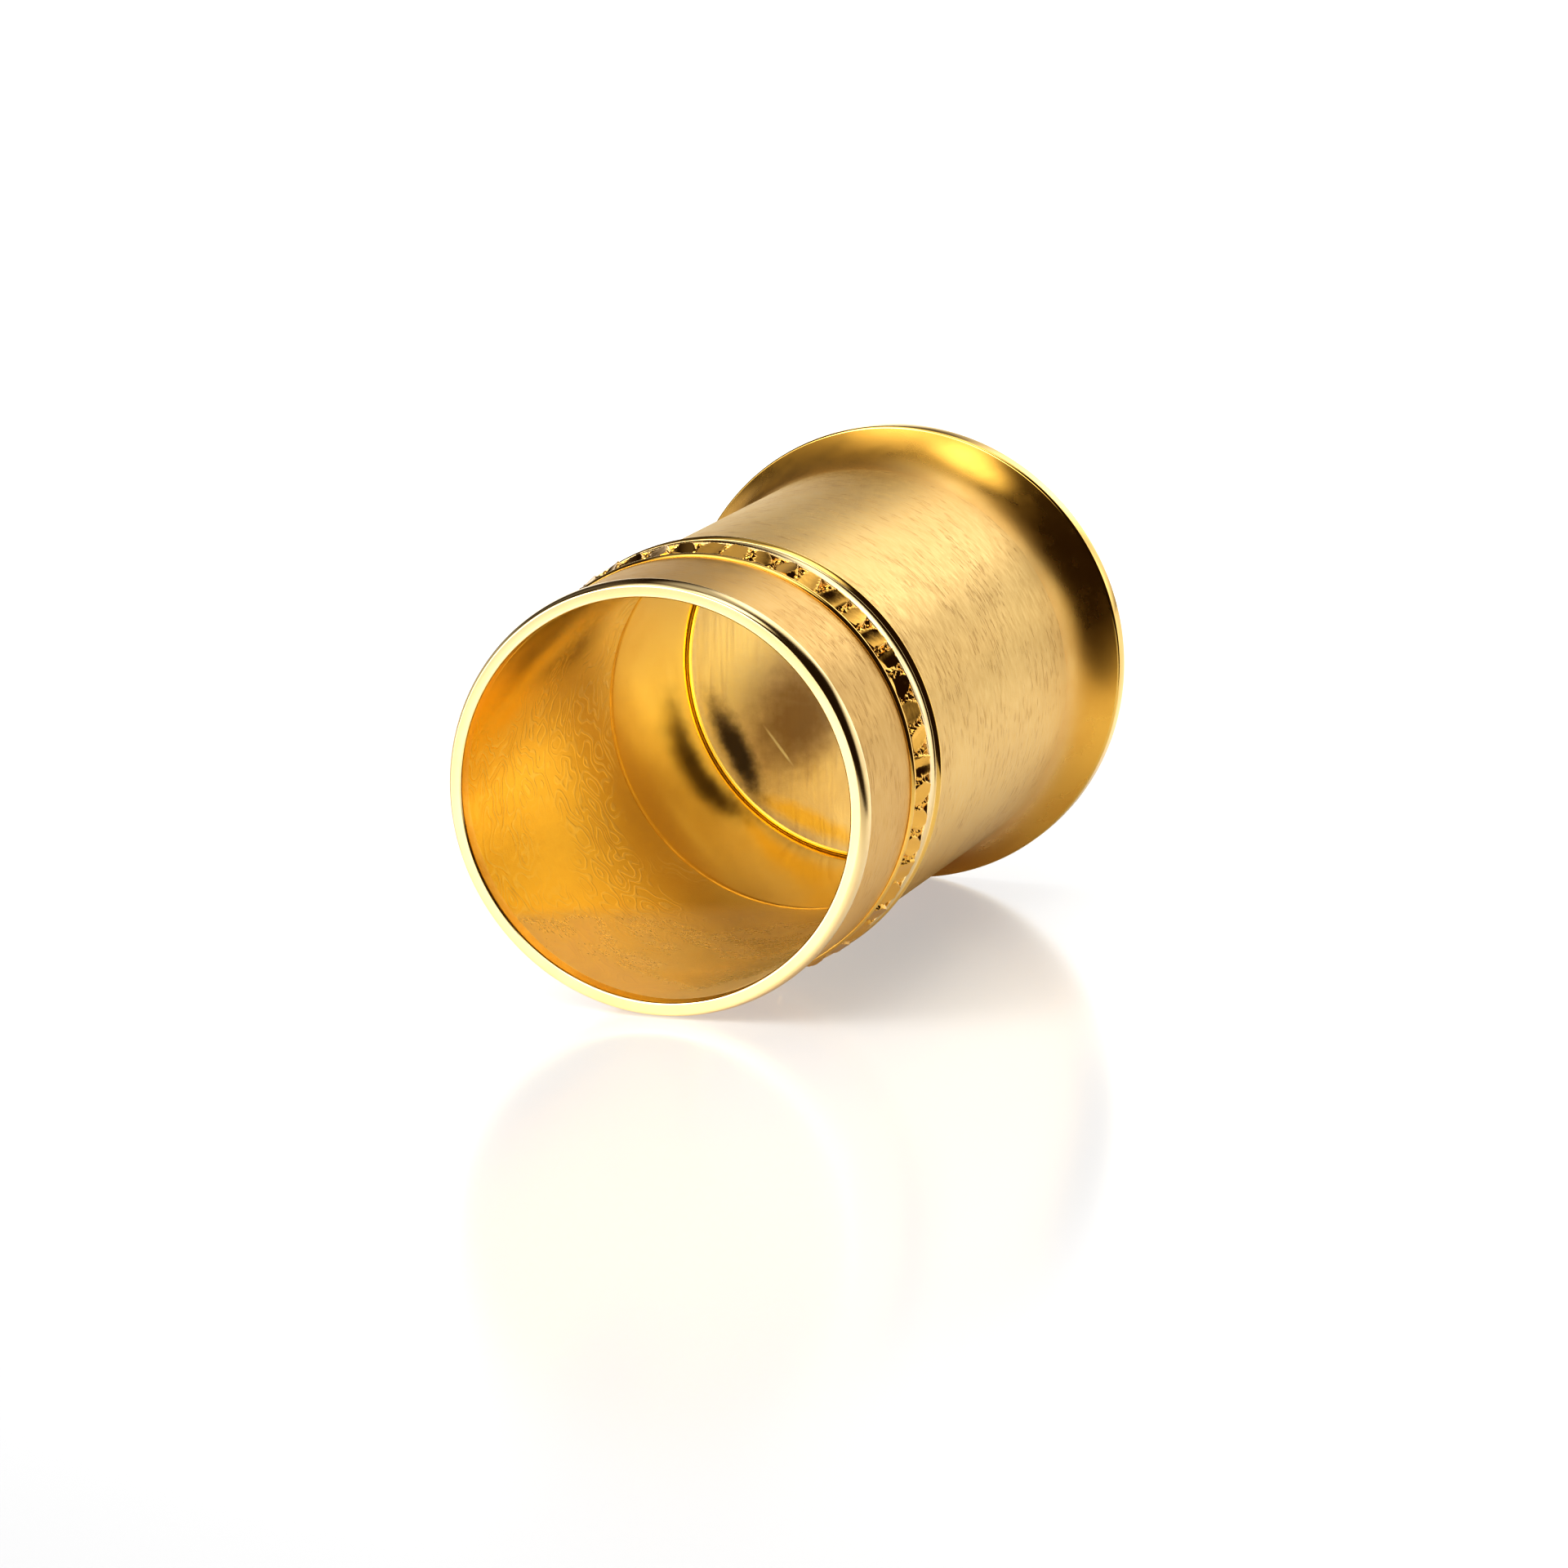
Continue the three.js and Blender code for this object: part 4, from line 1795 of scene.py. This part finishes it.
@dataclass
class StudioWorld:
    """White all round to the eye, with soft lights and dark gaps for the metal to mirror.

    Attributes:
        studio: The studio's directions.
        backdrop: The white that shows behind the beaker.
        fill: The light from everywhere.
        fill_colour: Its colour.
        softboxes: The soft lights.
    """

    studio: Studio
    backdrop: float = 1.0
    fill: float = 0.025
    fill_colour: Colour = (1.0, 0.6, 0.25, 1)
    softboxes: tuple[Softbox, ...] = (
        Softbox("high key on the left", -120, 45, 4.5),
        Softbox("low key on the left", -115, 10, 3.0),
        Softbox("high front", -155, 50, 2.0),
        Softbox("left front", -140, 35, 1.8),
        Softbox("above the camera", -175, 40, 1.7),
        Softbox("level with the camera", -172, 4, 0.6),
        Softbox("into the mouth", -160, 25, 0.35),
        Softbox("along the bore", -150, 10, 1.0),
        Softbox("beside the bore", -130, 20, 0.4),
        Softbox("wrap on the left", -90, 30, 1.3),
        Softbox("low wrap on the left", -88, 5, 0.6),
        Softbox("overhead", 55, 75, 1.45),
        Softbox("low behind", 0, 0, 1.05),
        Softbox("top of the body", 30, 30, 0.95),
        Softbox("low behind on the right", 20, 10, 0.7),
        Softbox("low behind on the left", -42, 4, 0.6),
        Softbox("low on the right", 55, 5, 0.7),
        Softbox("crown of the body", 15, 45, 0.4),
        Softbox("side of the body", 40, 15, 0.55),
        Softbox("back of the flare", -30, 30, 0.1),
        Softbox("over the lip", -80, 68, 1.0),
        Softbox("behind the lip", -35, 65, 0.4),
        Softbox("zenith", -165, 83, 0.6),
    )

    def build(self) -> None:
        """Makes the world's shader."""
        world = bpy.data.worlds.new("studio")
        bpy.context.scene.world = world
        world.use_nodes = True
        nodes = NodeTree(world.node_tree)
        sight = nodes.add("TexCoord").outputs["Generated"]
        total: object = 0.0
        for softbox in self.softboxes:
            total = nodes.math("MULTIPLY_ADD", self._share(nodes, sight, softbox), softbox.light, total)
        panels = nodes.add("Background", {"Color": WHITE, "Strength": total})
        fill = nodes.add("Background", {"Color": self.fill_colour, "Strength": self.fill})
        mirrored = nodes.add("AddShader", {0: panels.outputs[0], 1: fill.outputs[0]})
        seen = nodes.add("Background", {"Color": WHITE, "Strength": self.backdrop})
        camera_ray = nodes.add("LightPath").outputs["Is Camera Ray"]
        mixed = nodes.add("MixShader", {0: camera_ray, 1: mirrored.outputs[0], 2: seen.outputs[0]})
        nodes.end("OutputWorld", mixed.outputs[0])

    def _share(
        self, nodes: NodeTree, sight: bpy.types.NodeSocket, softbox: Softbox
    ) -> bpy.types.NodeSocket:
        """How much of a softbox shows in a direction, from 0 to 1.

        Args:
            nodes: The world's nodes.
            sight: The direction.
            softbox: The softbox.

        Returns:
            The share's socket.
        """
        aim = self.studio.direction(softbox.azimuth, softbox.height)
        facing = nodes.add("VectorMath", {0: sight, 1: aim}, operation="DOT_PRODUCT", label=softbox.name)
        faded, full = (math.cos(math.radians(angle)) for angle in (softbox.outer, softbox.inner))
        return nodes.ramp(facing.outputs["Value"], faded, full)


@dataclass
class StudioFloor:
    """The white glossy floor that the beaker lies on. It shows from above only.

    Attributes:
        studio: The studio's directions.
        reach: How far it goes on every side.
        notch: Where a wedge is cut from its right side, out of the camera's sight. The band and the lip
            mirror the dark room there.
        notch_slope: How much the wedge widens on either side for each step to the right.
        colour: Its colour, as the camera sees it.
        bounce: Its colour, as the beaker sees it.
        gloss: How strongly it mirrors.
        roughness: How blurred its mirror is.
        glow: The light that comes up through it everywhere, as the camera sees it.
        lift: The light that comes up through it everywhere, as the beaker sees it.
        pool: The light that comes up through it in front of the mouth, which only the beaker sees.
        pool_reach: The distance over which that light fades.
        pool_ahead: How far in front of the mouth its middle lies.
    """

    studio: Studio
    reach: float = 3.0
    notch: Point = (0.13, -0.045)
    notch_slope: float = 0.6
    colour: Colour = (0.445, 0.445, 0.445, 1)
    bounce: Colour = (0.80, 0.79, 0.78, 1)
    gloss: float = 0.35
    roughness: float = 0.15
    glow: Colour = (0.335, 0.34, 0.345, 1)
    lift: float = 0.05
    pool: float = 0.50
    pool_reach: float = 0.22
    pool_ahead: float = 0.12

    def build(self) -> None:
        """Makes the floor."""
        studio, end = self.studio, self.reach
        wide = (end - self.notch[0]) * self.notch_slope
        mouth = ((end, self.notch[1] - wide), self.notch, (end, self.notch[1] + wide))
        places = ((-end, -end), (end, -end), *mouth, (end, end), (-end, end))
        corners = [studio.contact + studio.right * x + studio.back * y for x, y in places]
        mesh = bpy.data.meshes.new("studio_floor")
        mesh.from_pydata(corners, [], [range(len(corners))])
        floor = add_to_scene("studio_floor", mesh)
        mesh.materials.append(self._material())

    def _material(self) -> bpy.types.Material:
        """White and glossy in front, clear behind.

        Returns:
            The floor's material.
        """
        material, nodes = new_material("white_floor")
        shader = nodes.add("BsdfPrincipled", {"Roughness": self.roughness})
        shader.inputs["Specular IOR Level"].default_value = self.gloss
        shader.inputs["Emission Strength"].default_value = 1.0
        middle = self.studio.contact + self.studio.to_mouth * (Span.of("lip_ring").high + self.pool_ahead)
        away = nodes.measure("DISTANCE", nodes.place(), middle)
        share = nodes.ramp(away, 0.0, self.pool_reach, 1.0, 0.0)
        thrown = nodes.blend(share, (self.lift,) * 3 + (1,), (self.pool,) * 3 + (1,))
        camera = nodes.add("LightPath").outputs["Is Camera Ray"]
        nodes.put(nodes.blend(camera, self.bounce, self.colour), shader.inputs["Base Color"])
        nodes.put(nodes.blend(camera, thrown, self.glow), shader.inputs["Emission Color"])
        clear = nodes.add("BsdfTransparent")
        behind = nodes.add("NewGeometry").outputs["Backfacing"]
        mixed = nodes.add("MixShader", {0: behind, 1: shader.outputs[0], 2: clear.outputs[0]})
        nodes.end("OutputMaterial", mixed.outputs[0])
        return material


def main() -> None:
    """Builds the beaker and its studio, and reports each piece."""
    logging.basicConfig(level=logging.INFO, format="%(name)s: %(message)s")
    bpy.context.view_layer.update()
    bpy.context.scene.view_settings.view_transform = "Standard"
    bpy.context.scene.view_settings.look = "High Contrast"
    studio = Studio()
    PhotoCamera(studio).build()
    StudioWorld(studio).build()
    StudioFloor(studio).build()
    library = FinishLibrary()
    for assembly in (Cup(), Band(), Foot()):
        for part in assembly.pieces():
            part.build()
            part.dress(library)
            log.info("%s has %d faces", part.piece.name, len(part.piece.data.polygons))


if __name__ == "__main__":
    main()
